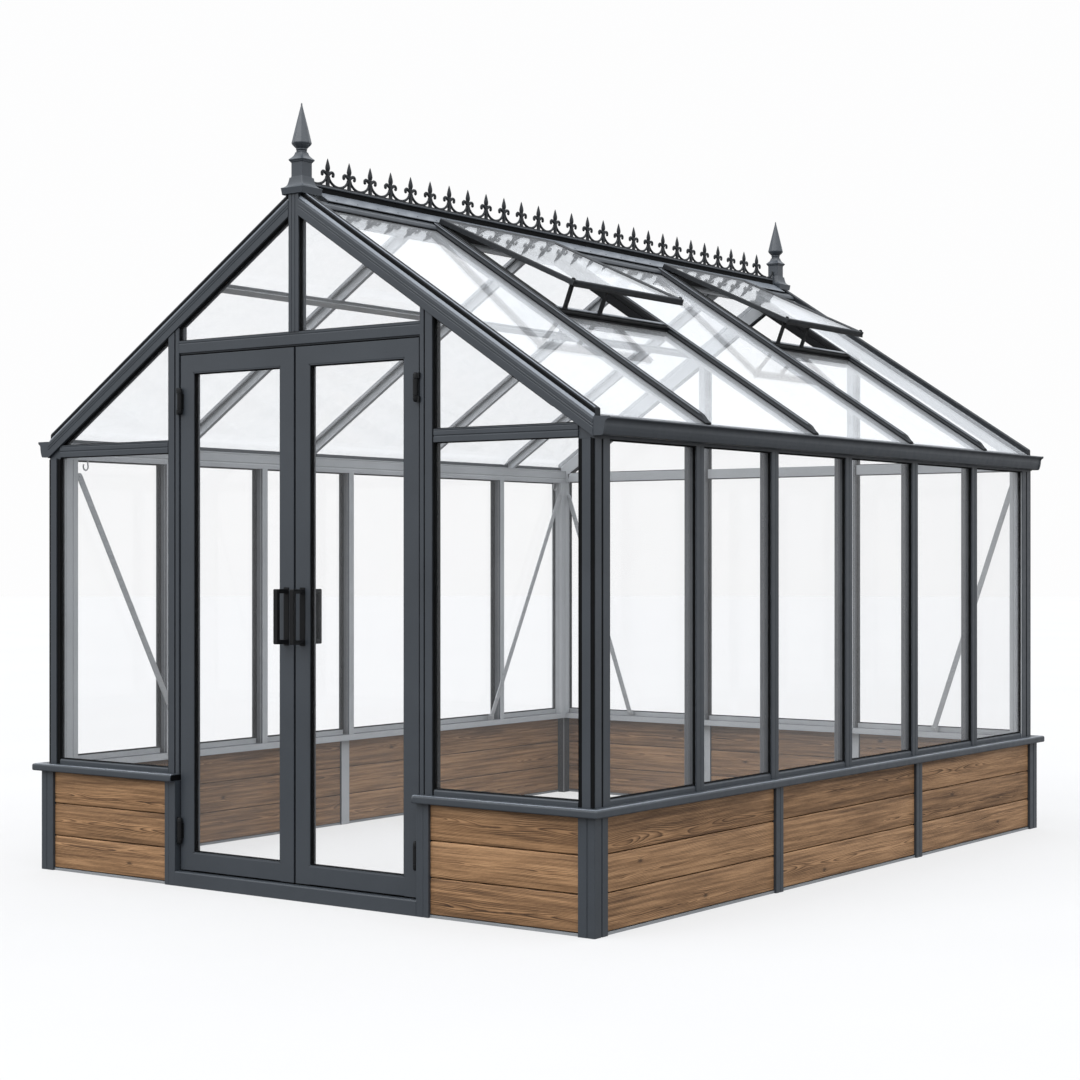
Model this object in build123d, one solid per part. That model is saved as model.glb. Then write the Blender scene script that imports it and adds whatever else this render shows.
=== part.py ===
from build123d import *
import os
from math import sin, cos, tan, radians, pi

# ---------------------------------------------------------------------------
# Glass greenhouse on a low board wall.  Millimetres, +Z up, front gable at -Y.
# Every length below is measured from the centre line of the building, and the
# whole model is shifted along Y by SHIFT_Y so that its bounding box is centred.
# ---------------------------------------------------------------------------
W = 2750.0              # width over the board wall posts
L = 3660.0              # length over the board wall posts
HW, HL = W / 2, L / 2
SET = 20.0              # glazed frame stands back from the board wall
UX, UY = HW - SET, HL - SET          # outer plane of the glazed frame
NOSE = 26.0             # sill nose beyond the board wall posts
SILL_Z0, SILL_Z1 = 403.0, 431.0
UPSTAND_Z = 453.0       # top of the bottom glazing rail
SILL_IN_X, SILL_IN_Y = 1290.0, 1745.0
BOARD_SET = 12.0        # boards stand back from the post faces
BOARD_T = 18.0
RAIL_H = 10.0           # rail under the boards
BPOST = 56.0            # width of an intermediate board wall post
BPOST_D = 40.0          # its depth
CORNER_X, CORNER_Y = 70.0, 80.0      # board wall corner post
GLASS_SET = 15.0        # glass stands back from the glazed frame's outer plane
GLASS_T = 4.0
BAR_W, WEB_W = 54.0, 34.0            # wall glazing bar: cap and inner box
BAR_IN = 59.0           # depth of cap and inner box together
SIDE_PITCH = 593.0
FIRST_BAR = {1: -1131.0, -1: -1186.0}      # the right wall's first bay is narrower
REAR_BAR_X = 430.0

PITCH = 33.0
CP, SP, TP = cos(radians(PITCH)), sin(radians(PITCH)), tan(radians(PITCH))
RIDGE_Z = 2632.0        # roof line on the centre line
EAVE_Z0 = 1673.0        # underside of the eave beam
BEAM_IN = 1305.0        # inner side of the eave beam, with a low inner flange
BEAM_TOP, BEAM_Z1 = 1338.0, 1740.0
BARGE_D = 62.0          # barge depth at right angles to the slope
CAP_H = 20.0            # roof bar cap above the glass
RBAR_W, RWEB_W, RWEB_D = 40.0, 14.0, 36.0
ROOF_BAR_Y = [-1074.0, -270.0, 560.0, 1300.0]
ROOF_IN_Y = 1768.0      # inner side of the barges
RIDGE_HALF = 20.0

DOOR_HALF = 604.0       # door opening, half width
POST_W = 62.0
LEAF_GAP = 6.5          # gap on the hinge side
MEET = 4.5              # half of the gap between the leaves
LEAF_Z0, LEAF_Z1 = 62.0, 2055.0
LEAF_T = 40.0
LEAF_Y = -(UY - 5.0)    # outer face of the leaves
STILE = 72.0
HEAD_Z0, HEAD_Z1 = 2060.0, 2112.0
THRESH_H = 57.0
EAVE_RAIL_Z0, EAVE_RAIL_Z1 = 1680.0, 1727.0

HINGE_X = 591.5         # hinge line, from the centre
HINGE_Y = -1816.0
HINGE_R, PIN_R, BORE_R = 10.0, 4.0, 4.1
HINGE_Z = [160.0, 1825.0]
HINGE_L = 105.0

HANDLE_X = 40.5
HANDLE_Z0, HANDLE_Z1 = 950.0, 1155.0
HANDLE_OUT, HANDLE_IN = 62.0, 56.0
HANDLE_W, HANDLE_T = 20.0, 16.0

VENT_OPEN = 8.5         # the roof vents stand open by this angle
VENTS = [((ROOF_BAR_Y[k] + ROOF_BAR_Y[k + 1]) / 2, (ROOF_BAR_Y[k + 1] - ROOF_BAR_Y[k]) / 2) for k in (0, 2)]
VENT_S0, VENT_S1 = 92.0, 800.0
SASH_T, SASH_W = 22.0, 28.0

FINIAL_Y = 1766.0
FINIAL_BOTTOM, FINIAL_TOP = 2618.0, 2970.0
CREST_N = 27

SHIFT_Y = 5.5           # centres the bounding box: handles in front, sill behind

os.makedirs("parts", exist_ok=True)


def export(name, solids):
    if not isinstance(solids, (list, tuple)):
        solids = [solids]
    flat = []
    for s in solids:
        flat += list(s.solids())
    moved = [s.moved(Location((0, SHIFT_Y, 0))) for s in flat]
    shape = moved[0] if len(moved) == 1 else Compound(children=moved)
    export_step(shape, "parts/%s.step" % name)
    return shape


def prism(points, vec):
    face = Face(Wire.make_polygon([Vector(*p) for p in points], close=True))
    return Solid.extrude(face, Vector(*vec))


def box(x0, x1, y0, y1, z0, z1):
    x0, x1 = min(x0, x1), max(x0, x1)
    y0, y1 = min(y0, y1), max(y0, y1)
    return prism([(x0, y0, z0), (x1, y0, z0), (x1, y1, z0), (x0, y1, z0)],
                 (0, 0, z1 - z0))


def xz(points, y0, y1):
    """A plate drawn in the X-Z plane, from y0 to y1."""
    return prism([(p[0], y0, p[1]) for p in points], (0, y1 - y0, 0))


def xy(points, z0, z1):
    return prism([(p[0], p[1], z0) for p in points], (0, 0, z1 - z0))


def fuse(parts):
    out = parts[0]
    for p in parts[1:]:
        out = out.fuse(p)
    if isinstance(out, (list, tuple)):
        out = Compound(children=list(out))
    return out.clean()


def mx(points):
    return [(-p[0],) + tuple(p[1:]) for p in points]


def roof(x, v=0.0):
    """Height of the line that lies v outside the roof line, at x."""
    return RIDGE_Z - abs(x) * TP + v / CP


def sv(s, v):
    """Point on the right slope: s down the slope from the ridge, v outwards."""
    return (s * CP + v * SP, RIDGE_Z - s * SP + v * CP)


def slope_plate(x0, x1, v0, v1, y0, y1, side=1):
    """A plate on a slope with plumb-cut ends at x0 and x1."""
    pts = [(x0, roof(x0, v1)), (x1, roof(x1, v1)), (x1, roof(x1, v0)), (x0, roof(x0, v0))]
    if side < 0:
        pts = mx(pts)
    return xz(pts, y0, y1)


def slope_bar(s0, s1, v0, v1, y0, y1, side=1):
    """A plate on a slope with square-cut ends at s0 and s1."""
    pts = [sv(s0, v0), sv(s1, v0), sv(s1, v1), sv(s0, v1)]
    if side < 0:
        pts = mx(pts)
    return xz(pts, y0, y1)


# ------------------------------------------------------------ board wall ---
side_post_y = {1: [-SIDE_PITCH, SIDE_PITCH], -1: [0.0]}
side_spans = {}
for sgn in (1, -1):
    edges = [-(HL - CORNER_Y)] + [c for y in side_post_y[sgn] for c in (y - BPOST / 2, y + BPOST / 2)] + [HL - CORNER_Y]
    side_spans[sgn] = list(zip(edges[0::2], edges[1::2]))
rear_edges = [-(HW - CORNER_X)] + [c for x in (-REAR_BAR_X, REAR_BAR_X) for c in (x - BPOST / 2, x + BPOST / 2)] + [HW - CORNER_X]
rear_spans = list(zip(rear_edges[0::2], rear_edges[1::2]))
front_spans = [(-(HW - CORNER_X), -(DOOR_HALF + 57.0)), (DOOR_HALF + 57.0, HW - CORNER_X)]

rails = []
for sgn in (1, -1):
    for a, b in side_spans[sgn]:
        rails.append(box(sgn * (HW - BOARD_SET + 3), sgn * (HW - BOARD_SET - BOARD_T - 2), a, b, 0, RAIL_H))
for a, b in rear_spans:
    rails.append(box(a, b, HL - BOARD_SET + 3, HL - BOARD_SET - BOARD_T - 2, 0, RAIL_H))
for a, b in front_spans:
    rails.append(box(a, b, -(HL - BOARD_SET + 3), -(HL - BOARD_SET - BOARD_T - 2), 0, RAIL_H))
export("base_rails", rails)

posts = []
for sx in (1, -1):
    for sy in (1, -1):
        posts.append(box(sx * (HW - CORNER_X), sx * HW, sy * (HL - CORNER_Y), sy * HL, 0, SILL_Z0))
    for y in side_post_y[sx]:
        posts.append(box(sx * (HW - BPOST_D), sx * HW, y - BPOST / 2, y + BPOST / 2, 0, SILL_Z0))
    posts.append(box(sx * REAR_BAR_X - BPOST / 2, sx * REAR_BAR_X + BPOST / 2, HL - BPOST_D, HL, 0, SILL_Z0))
    posts.append(box(sx * DOOR_HALF, sx * (DOOR_HALF + 57.0), -HL, -(HL - 78.0), 0, SILL_Z0))
export("base_posts", posts)

for name, sgn in (("right", 1), ("left", -1)):
    export("%s_board_panels" % name,
           [box(sgn * (HW - BOARD_SET), sgn * (HW - BOARD_SET - BOARD_T), a, b, RAIL_H, SILL_Z0) for a, b in side_spans[sgn]])
export("rear_board_panels",
       [box(a, b, HL - BOARD_SET, HL - BOARD_SET - BOARD_T, RAIL_H, SILL_Z0) for a, b in rear_spans])
export("front_board_panels",
       [box(a, b, -(HL - BOARD_SET), -(HL - BOARD_SET - BOARD_T), RAIL_H, SILL_Z0) for a, b in front_spans])
export("door_threshold", box(-DOOR_HALF, DOOR_HALF, -HL, -(HL - 65.0), 0, THRESH_H))

# ----------------------------------------------------------------- sills ---
NX, NY = HW + NOSE, HL + NOSE
side_bars = {s: [FIRST_BAR[s]] + [SIDE_PITCH * k for k in (-1, 0, 1, 2)] for s in (1, -1)}
corner_len = 102.0
gx0, gx1 = UX - GLASS_SET - GLASS_T, UX - GLASS_SET     # glass in the side walls
gy0, gy1 = UY - GLASS_SET - GLASS_T, UY - GLASS_SET     # glass in the gables
side_clear = {}
for s in (1, -1):
    e = [-(UY - corner_len)] + [c for y in side_bars[s] for c in (y - BAR_W / 2, y + BAR_W / 2)] + [UY - corner_len]
    side_clear[s] = list(zip(e[0::2], e[1::2]))
for name, s in (("right", 1), ("left", -1)):
    pts = [(s * NX, -NY), (s * NX, NY), (s * SILL_IN_X, SILL_IN_Y), (s * SILL_IN_X, -SILL_IN_Y)]
    parts = [xy(pts, SILL_Z0, SILL_Z1)]
    for a, b in side_clear[s]:
        parts.append(box(s * (gx0 - 8), s * (gx1 + 8), a, b, SILL_Z1 - 1, UPSTAND_Z))
    export("sill_%s" % name, fuse(parts))
rear_clear = [(-SILL_IN_X, -REAR_BAR_X - BAR_W / 2), (-REAR_BAR_X + BAR_W / 2, REAR_BAR_X - BAR_W / 2),
              (REAR_BAR_X + BAR_W / 2, SILL_IN_X)]
parts = [xy([(-NX, NY), (NX, NY), (SILL_IN_X, SILL_IN_Y), (-SILL_IN_X, SILL_IN_Y)], SILL_Z0, SILL_Z1)]
for a, b in rear_clear:
    parts.append(box(a, b, gy0 - 8, gy1 + 8, SILL_Z1 - 1, UPSTAND_Z))
export("sill_rear", fuse(parts))
fronts = []
for s in (1, -1):
    pts = [(s * NX, -NY), (s * SILL_IN_X, -SILL_IN_Y), (s * DOOR_HALF, -SILL_IN_Y), (s * DOOR_HALF, -NY)]
    fronts.append(fuse([xy(pts, SILL_Z0, SILL_Z1),
                        box(s * (DOOR_HALF + POST_W), s * SILL_IN_X, -(gy0 - 8), -(gy1 + 8), SILL_Z1 - 1, UPSTAND_Z)]))
export("sill_front", fronts)

# --------------------------------------------------- posts and wall bars ---
def corner_section(sx, sy):
    """Plan of a corner post: notched at the corner, grooved on the side and stepped down to the gable glass."""
    a, b = SILL_IN_X, UX
    c, d = UY - corner_len, UY
    pts = [(a, c), (b, c), (b, c + 42), (b - 9, c + 42), (b - 9, c + 52), (b, c + 52), (b, d - 12),
           (b - 12, d - 12), (b - 12, d), (a + 18, d), (a + 18, d - 10), (a, d - 10)]
    return [(sx * p[0], sy * p[1]) for p in pts]


corner = []
for sx in (1, -1):
    for sy in (1, -1):
        body = xy(corner_section(sx, sy), SILL_Z1, EAVE_Z0)
        top_pts = [(SILL_IN_X, EAVE_Z0 - 1), (UX, EAVE_Z0 - 1), (UX, roof(UX, -BARGE_D)),
                   (SILL_IN_X, roof(SILL_IN_X, -BARGE_D))]
        if sx < 0:
            top_pts = mx(top_pts)
        top = xz(top_pts, sy * ROOF_IN_Y, sy * UY)
        corner.append(fuse([body, top]))
export("corner_posts", corner)

dposts = []
for s in (1, -1):
    x0, x1 = DOOR_HALF, DOOR_HALF + POST_W
    pts = [(x0, SILL_Z1), (x1, SILL_Z1), (x1, roof(x1, -BARGE_D)), (x0, roof(x0, -BARGE_D))]
    if s < 0:
        pts = mx(pts)
    dposts.append(xz(pts, -UY, -1765.0))
export("door_posts", dposts)
export("door_header", box(-DOOR_HALF, DOOR_HALF, -(UY - 2), -1765.0, HEAD_Z0, HEAD_Z1))
export("gable_king_post", box(-25, 25, -(UY + 2), -ROOF_IN_Y, HEAD_Z1, 2640.0))


def eave_rail(x0, x1, y0, y1):
    """Rail level with the eaves; the corner beside the barge is cut along it."""
    xc = (RIDGE_Z - BARGE_D / CP - EAVE_RAIL_Z1) / TP
    pts = [(x0, EAVE_RAIL_Z0), (x1, EAVE_RAIL_Z0)]
    if x1 > xc:
        pts += [(x1, roof(x1, -BARGE_D)), (xc, EAVE_RAIL_Z1)]
    else:
        pts += [(x1, EAVE_RAIL_Z1)]
    pts += [(x0, EAVE_RAIL_Z1)]
    return pts


rails = []
for s in (1, -1):
    pts = eave_rail(DOOR_HALF + POST_W, SILL_IN_X, 0, 0)
    rails.append(xz(pts if s > 0 else mx(pts), -(UY - 2), -ROOF_IN_Y))
    pts = eave_rail(REAR_BAR_X + BAR_W / 2, SILL_IN_X, 0, 0)
    rails.append(xz(pts if s > 0 else mx(pts), UY - 2, ROOF_IN_Y))
rails.append(box(-REAR_BAR_X + BAR_W / 2, REAR_BAR_X - BAR_W / 2, ROOF_IN_Y, UY - 2, EAVE_RAIL_Z0, EAVE_RAIL_Z1))
export("gable_eave_rails", rails)

for name, s in (("right", 1), ("left", -1)):
    bars = []
    for y in side_bars[s]:
        bars.append(fuse([box(s * gx1, s * UX, y - BAR_W / 2, y + BAR_W / 2, SILL_Z1, EAVE_Z0),
                          box(s * (UX - BAR_IN), s * gx1, y - WEB_W / 2, y + WEB_W / 2, SILL_Z1, EAVE_Z0)]))
    export("%s_wall_bars" % name, bars)
bars = []
for s in (1, -1):
    a = REAR_BAR_X
    cap = [(a - BAR_W / 2, SILL_Z1), (a + BAR_W / 2, SILL_Z1), (a + BAR_W / 2, roof(a + BAR_W / 2, -BARGE_D)),
           (a - BAR_W / 2, roof(a - BAR_W / 2, -BARGE_D))]
    web = [(a - WEB_W / 2, SILL_Z1), (a + WEB_W / 2, SILL_Z1), (a + WEB_W / 2, roof(a + WEB_W / 2, -BARGE_D)),
           (a - WEB_W / 2, roof(a - WEB_W / 2, -BARGE_D))]
    if s < 0:
        cap, web = mx(cap), mx(web)
    bars.append(fuse([xz(cap, gy1, UY), xz(web, UY - BAR_IN, gy1)]))
export("rear_wall_bars", bars)

# ----------------------------------------------------- eaves and gutters ---
beams = []
for s in (1, -1):
    lip = 1376.0
    pts = [(BEAM_IN, EAVE_Z0), (UX, EAVE_Z0), (UX, roof(UX, -10)), (lip, roof(lip, -10)), (lip, roof(lip, -4)),
           (BEAM_TOP, roof(BEAM_TOP, -4)), (BEAM_TOP, BEAM_Z1), (BEAM_IN, BEAM_Z1)]
    if s < 0:
        pts = mx(pts)
    beams.append(xz(pts, -ROOF_IN_Y, ROOF_IN_Y))
export("eave_beams", beams)

G_OUT = [(1355, 1683), (1390, 1683), (1396, 1700), (1400, 1715), (1399, 1727), (1404, 1734), (1415, 1737), (1415, 1745)]
G_IN = [(1408, 1745), (1408, 1741), (1400.5, 1739), (1395.5, 1729), (1396.5, 1716), (1392.5, 1701), (1387.5, 1686.5),
        (1358.5, 1686.5), (1358.5, 1731), (1355, 1731)]
gutters = []
for s in (1, -1):
    prof, cap = G_OUT + G_IN, G_OUT + [(1355, 1745)]
    if s < 0:
        prof, cap = mx(prof), mx(cap)
    gutters.append(fuse([xz(prof, -(UY + 2), UY + 2), xz(cap, -(UY + 2), -(UY - 2)), xz(cap, UY - 2, UY + 2)]))
export("gutters", gutters)

# ------------------------------------------------------------------ roof ---
for name, sy, xin in (("front", -1, 25.0), ("rear", 1, RIDGE_HALF)):
    barges = []
    for s in (1, -1):
        plate = slope_plate(xin, UX, -BARGE_D, 0, sy * (UY + 4), sy * (UY - 12), s)
        cap = slope_plate(xin, UX, -BARGE_D, CAP_H, sy * (UY - 12), sy * ROOF_IN_Y, s)
        barges.append(fuse([plate, cap]))
    export("%s_barges" % name, barges)

for name, s in (("right", 1), ("left", -1)):
    bars = []
    for y in ROOF_BAR_Y:
        cap = slope_plate(RIDGE_HALF, 1352, 0, CAP_H, y - RBAR_W / 2, y + RBAR_W / 2, s)
        pts = [(RIDGE_HALF, roof(RIDGE_HALF, 0)), (1352, roof(1352, 0)), (1352, roof(1352, -4)),
               (BEAM_TOP, roof(BEAM_TOP, -4)), (BEAM_TOP, BEAM_Z1), ((roof(0, -RWEB_D) - BEAM_Z1) / TP, BEAM_Z1),
               (RIDGE_HALF, roof(RIDGE_HALF, -RWEB_D))]
        web = xz(pts if s > 0 else mx(pts), y - RWEB_W / 2, y + RWEB_W / 2)
        bars.append(fuse([cap, web]))
    export("roof_bars_%s" % name, bars)

export("ridge_beam", box(-RIDGE_HALF, RIDGE_HALF, -ROOF_IN_Y, UY + 4, 2545.0, 2640.0))
fl = []
for s in (1, -1):
    pts = [sv(14, CAP_H + 3), sv(86, CAP_H + 3), sv(86, CAP_H), sv(14, CAP_H)]
    pts[0] = (8.0, roof(8.0, CAP_H + 3))
    pts[3] = (8.0, roof(8.0, CAP_H))
    fl.append(xz(pts if s > 0 else mx(pts), -(FINIAL_Y - 57), FINIAL_Y - 57))
stem = box(-10, 10, -(FINIAL_Y - 57), FINIAL_Y - 57, 2640.0, 2663.0)
rail = box(-22, 22, -(FINIAL_Y - 57), FINIAL_Y - 57, 2662.0, 2672.0)
export("ridge_cap", fuse([stem, rail] + fl))

# cresting: a flat base bar with a row of pointed leaves
pitch_c = 123.0
c_y0 = -(FINIAL_Y - 145.0)
cz = 2672.0
crest = [box(-4.5, 4.5, -(FINIAL_Y - 38), FINIAL_Y - 38, cz, cz + 9)]
leaf = [(-6, 6), (-6, 36), (-12, 44), (-36, 50), (-40, 60), (-28, 70), (-13, 64), (-14, 78), (0, 112),
        (14, 78), (13, 64), (28, 70), (40, 60), (36, 50), (12, 44), (6, 36), (6, 6)]
for i in range(CREST_N):
    yc = c_y0 + pitch_c * i
    crest.append(prism([(-4, yc + p[0], cz + p[1]) for p in leaf], (8, 0, 0)))
export("ridge_cresting", fuse(crest))


def square(h, half, y):
    return [(-half, y - half, h), (half, y - half, h), (half, y + half, h), (-half, y + half, h)]


def ring(n, r, y, h, phase=0.5):
    return [(r * cos(2 * pi * (k + phase) / n), y + r * sin(2 * pi * (k + phase) / n), h) for k in range(n)]


def loft_polys(a, b):
    wires = [Wire.make_polygon([Vector(*p) for p in pts], close=True) for pts in (a, b)]
    return Solid.make_loft(wires, ruled=True)


finials = []
T = FINIAL_TOP      # each skirt sits over the roof like a saddle
for y in (-FINIAL_Y, FINIAL_Y):
    lv = [(T - 352, 51), (T - 322, 56), (T - 309, 38), (T - 281, 33)]
    parts = []
    for (h0, a0), (h1, a1) in zip(lv[:-1], lv[1:]):
        parts.append(loft_polys(square(h0, a0, y), square(h1, a1, y)))
    parts.append(box(-28, 28, y - 28, y + 28, T - 281, T - 222))
    parts.append(loft_polys(square(T - 222, 28, y), square(T - 213, 35, y)))
    parts.append(loft_polys(square(T - 213, 35, y), square(T - 190, 18, y)))
    parts.append(loft_polys(ring(8, 18.5, y, T - 190), ring(8, 18.5, y, T - 172)))
    parts.append(loft_polys(ring(8, 19, y, T - 172), ring(8, 38.5, y, T - 150)))
    parts.append(loft_polys(ring(8, 38.5, y, T - 150), ring(8, 2.0, y, T)))
    saddle = xz([(-90, 2500), (90, 2500), (90, roof(90, CAP_H + 0.5)), (0, roof(0, CAP_H + 0.5)),
                 (-90, roof(90, CAP_H + 0.5))], -(UY + 4), UY + 4)
    finials.append(fuse(parts).cut(saddle))
export("ridge_finials", finials)

# ----------------------------------------------------------------- glass ---
for name, s in (("right", 1), ("left", -1)):
    panes = []
    e = [-(UY - corner_len)] + [c for y in side_bars[s] for c in (y - WEB_W / 2, y + WEB_W / 2)] + [UY - corner_len]
    for a, b in zip(e[0::2], e[1::2]):
        panes.append(box(s * gx0, s * gx1, a, b, UPSTAND_Z, EAVE_Z0))
    export("%s_wall_glass" % name, panes)

panes = []
xc = (RIDGE_Z - BARGE_D / CP - EAVE_RAIL_Z1) / TP
d1 = DOOR_HALF + POST_W
for s in (1, -1):
    low = [(d1, UPSTAND_Z), (SILL_IN_X, UPSTAND_Z), (SILL_IN_X, EAVE_RAIL_Z0), (d1, EAVE_RAIL_Z0)]
    tri = [(d1, EAVE_RAIL_Z1), (xc, EAVE_RAIL_Z1), (d1, roof(d1, -BARGE_D))]
    top = [(25, HEAD_Z1), (DOOR_HALF, HEAD_Z1), (DOOR_HALF, roof(DOOR_HALF, -BARGE_D)), (25, roof(25, -BARGE_D))]
    for p in (low, tri, top):
        panes.append(xz(p if s > 0 else mx(p), -gy1, -gy0))
export("front_glass", panes)

panes = []
r1, r0 = REAR_BAR_X + WEB_W / 2, REAR_BAR_X - WEB_W / 2
for s in (1, -1):
    low = [(r1, UPSTAND_Z), (SILL_IN_X, UPSTAND_Z), (SILL_IN_X, EAVE_RAIL_Z0), (r1, EAVE_RAIL_Z0)]
    tri = [(r1, EAVE_RAIL_Z1), (xc, EAVE_RAIL_Z1), (r1, roof(r1, -BARGE_D))]
    for p in (low, tri):
        panes.append(xz(p if s > 0 else mx(p), gy0, gy1))
panes.append(xz([(-r0, UPSTAND_Z), (r0, UPSTAND_Z), (r0, EAVE_RAIL_Z0), (-r0, EAVE_RAIL_Z0)], gy0, gy1))
panes.append(xz([(-r0, EAVE_RAIL_Z1), (r0, EAVE_RAIL_Z1), (r0, roof(r0, -BARGE_D)),
                 (RIDGE_HALF, roof(RIDGE_HALF, -BARGE_D)), (RIDGE_HALF, 2545), (-RIDGE_HALF, 2545),
                 (-RIDGE_HALF, roof(RIDGE_HALF, -BARGE_D)), (-r0, roof(r0, -BARGE_D))], gy0, gy1))
export("rear_glass", panes)

ybars = [-ROOF_IN_Y] + [c for y in ROOF_BAR_Y for c in (y - RWEB_W / 2, y + RWEB_W / 2)] + [ROOF_IN_Y]
bays = list(zip(ybars[0::2], ybars[1::2]))
for name, s in (("right", 1), ("left", -1)):
    panes = []
    for i, (a, b) in enumerate(bays):
        if s > 0 and i in (1, 3):
            p0, p1 = sv(VENT_S1, 0), sv(VENT_S1, -4)
            pts = [p0, (1352, roof(1352, 0)), (1352, roof(1352, -4)), p1]
            panes.append(xz(pts, a, b))
        else:
            panes.append(slope_plate(RIDGE_HALF, 1352, -4, 0, a, b, s))
    export("roof_glass_%s" % name, panes)

# ----------------------------------------------------------------- vents ---
kerbs, sashes, vglass, stays = [], [], [], []
h0 = sv(VENT_S0, CAP_H + 3)


def sash_pt(r, t):
    """Point of the open sash: r from its hinge line, t above its underside."""
    a = radians(PITCH - VENT_OPEN)
    return (h0[0] + r * cos(a) + t * sin(a), h0[1] - r * sin(a) + t * cos(a))


def sash_plate(r0_, r1_, t0, t1, y0, y1):
    return xz([sash_pt(r0_, t0), sash_pt(r1_, t0), sash_pt(r1_, t1), sash_pt(r0_, t1)], y0, y1)


SASH_L = VENT_S1 + 6 - VENT_S0
for yc, half in VENTS:
    sash_half = half - 13.0
    parts = []
    for sy in (1, -1):
        parts.append(slope_bar(VENT_S0 - 26, VENT_S1 - 40, -RWEB_D, 0, yc + sy * (half - RWEB_W / 2), yc + sy * (half - 42)))
        parts.append(slope_bar(VENT_S0 - 4, VENT_S1, 0, CAP_H + 2, yc + sy * (half - RBAR_W / 2), yc + sy * (half - 42)))
    parts.append(slope_bar(VENT_S0 - 26, VENT_S0, -RWEB_D, 0, yc - half + RWEB_W / 2, yc + half - RWEB_W / 2))
    parts.append(slope_bar(VENT_S1 - 40, VENT_S1, -40, 0, yc - half + RWEB_W / 2, yc + half - RWEB_W / 2))
    parts.append(slope_bar(VENT_S1 - 40, VENT_S1, 0, CAP_H + 2, yc - half + RBAR_W / 2, yc + half - RBAR_W / 2))
    kerbs.append(fuse(parts))
    outer = sash_plate(0, SASH_L, 0, SASH_T, yc - sash_half, yc + sash_half)
    inner = sash_plate(SASH_W, SASH_L - SASH_W, -5, SASH_T + 5, yc - sash_half + SASH_W, yc + sash_half - SASH_W)
    sashes.append(outer.cut(inner))
    vglass.append(sash_plate(SASH_W, SASH_L - SASH_W, 12, 16, yc - sash_half + SASH_W, yc + sash_half - SASH_W))
    for dy in (-(half - 62), -0.26 * half):
        a = sv(777, CAP_H + 2)
        b = sv(787, CAP_H + 2)
        c = sash_pt(682, 0)
        d = sash_pt(672, 0)
        stays.append(xz([a, b, c, d], yc + dy - 10, yc + dy + 10))
export("vent_kerbs", kerbs)
export("vent_sashes", sashes)
export("vent_glass", vglass)
export("vent_stays", stays)

# ------------------------------------------------- braces and the purlin ---
RUN_L, RUN_R = 640.0, 430.0
braces = []
for sy in (-1, 1):
    y_top = sy * (UY - corner_len)
    pts = [(y_top, 1648.0), (y_top, 1588.0), (y_top - sy * (RUN_L - 30), SILL_Z1), (y_top - sy * RUN_L, SILL_Z1)]
    braces.append(prism([(-1296.0, p[0], p[1]) for p in pts], (4, 0, 0)))
for s in (1, -1):
    x_top = s * SILL_IN_X
    pts = [(x_top, 1640.0), (x_top, 1580.0), (x_top - s * (RUN_R - 26), SILL_Z1), (x_top - s * RUN_R, SILL_Z1)]
    braces.append(xz(pts, 1756.0, 1760.0))
export("wall_braces", braces)

purlin = slope_bar(505, 535, -RWEB_D - 24, -RWEB_D, -ROOF_IN_Y, ROOF_IN_Y, -1)
export("roof_purlin", purlin)

# ----------------------------------------------------------------- doors ---
pins = []
for s in (1, -1):
    for z in HINGE_Z:
        ax = s * HINGE_X
        parts = []
        for a, b in ((z, z + 21.5), (z + 83.5, z + HINGE_L)):
            parts.append(Solid.make_cylinder(HINGE_R, b - a, Plane((ax, HINGE_Y, a))))
            plate_end = DOOR_HALF if z < SILL_Z0 else DOOR_HALF + 12
            parts.append(box(ax, s * plate_end, HINGE_Y - 2.5, -UY, a, b))
        parts.append(Solid.make_cylinder(PIN_R, HINGE_L - 2, Plane((ax, HINGE_Y, z + 1))))
        pins.append(fuse(parts))
export("door_hinge_pins", pins)

for name, s in (("left", -1), ("right", 1)):
    x0, x1 = MEET, DOOR_HALF - LEAF_GAP
    outer = box(s * x0, s * x1, LEAF_Y, LEAF_Y + LEAF_T, LEAF_Z0, LEAF_Z1)
    inner = box(s * (x0 + STILE), s * (x1 - STILE), LEAF_Y - 5, LEAF_Y + LEAF_T + 5, LEAF_Z0 + STILE, LEAF_Z1 - STILE)
    export("door_%s_frame" % name, outer.cut(inner))
    export("door_%s_glass" % name,
           box(s * (x0 + STILE), s * (x1 - STILE), LEAF_Y + 15, LEAF_Y + 19, LEAF_Z0 + STILE, LEAF_Z1 - STILE))
    hx0, hx1 = s * HANDLE_X - HANDLE_W / 2, s * HANDLE_X + HANDLE_W / 2
    pulls = []
    for face, out in ((LEAF_Y, -HANDLE_OUT), (LEAF_Y + LEAF_T, HANDLE_IN)):
        sg = 1 if out > 0 else -1
        bar = box(hx0, hx1, face + out, face + out - sg * HANDLE_T, HANDLE_Z0, HANDLE_Z1)
        legs = [box(hx0, hx1, face, face + out - sg * (HANDLE_T - 1), z, z + 18.0) for z in (HANDLE_Z0, HANDLE_Z1 - 18.0)]
        pulls.append(fuse([bar] + legs))
    export("door_%s_handles" % name, pulls)
    knuckles = []
    for z in HINGE_Z:
        ax = s * HINGE_X
        a, b = z + 22.5, z + 82.5
        barrel = Solid.make_cylinder(HINGE_R, b - a, Plane((ax, HINGE_Y, a)))
        plate = box(ax, ax - s * 20, LEAF_Y - 4, LEAF_Y, a, b)
        hole = Solid.make_cylinder(BORE_R, b - a + 4, Plane((ax, HINGE_Y, a - 2)))
        knuckles.append(fuse([barrel, plate]).cut(hole))
    export("door_%s_hinges" % name, knuckles)
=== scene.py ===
import bpy
import bmesh
import math
import random
from mathutils import Vector, Matrix


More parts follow.
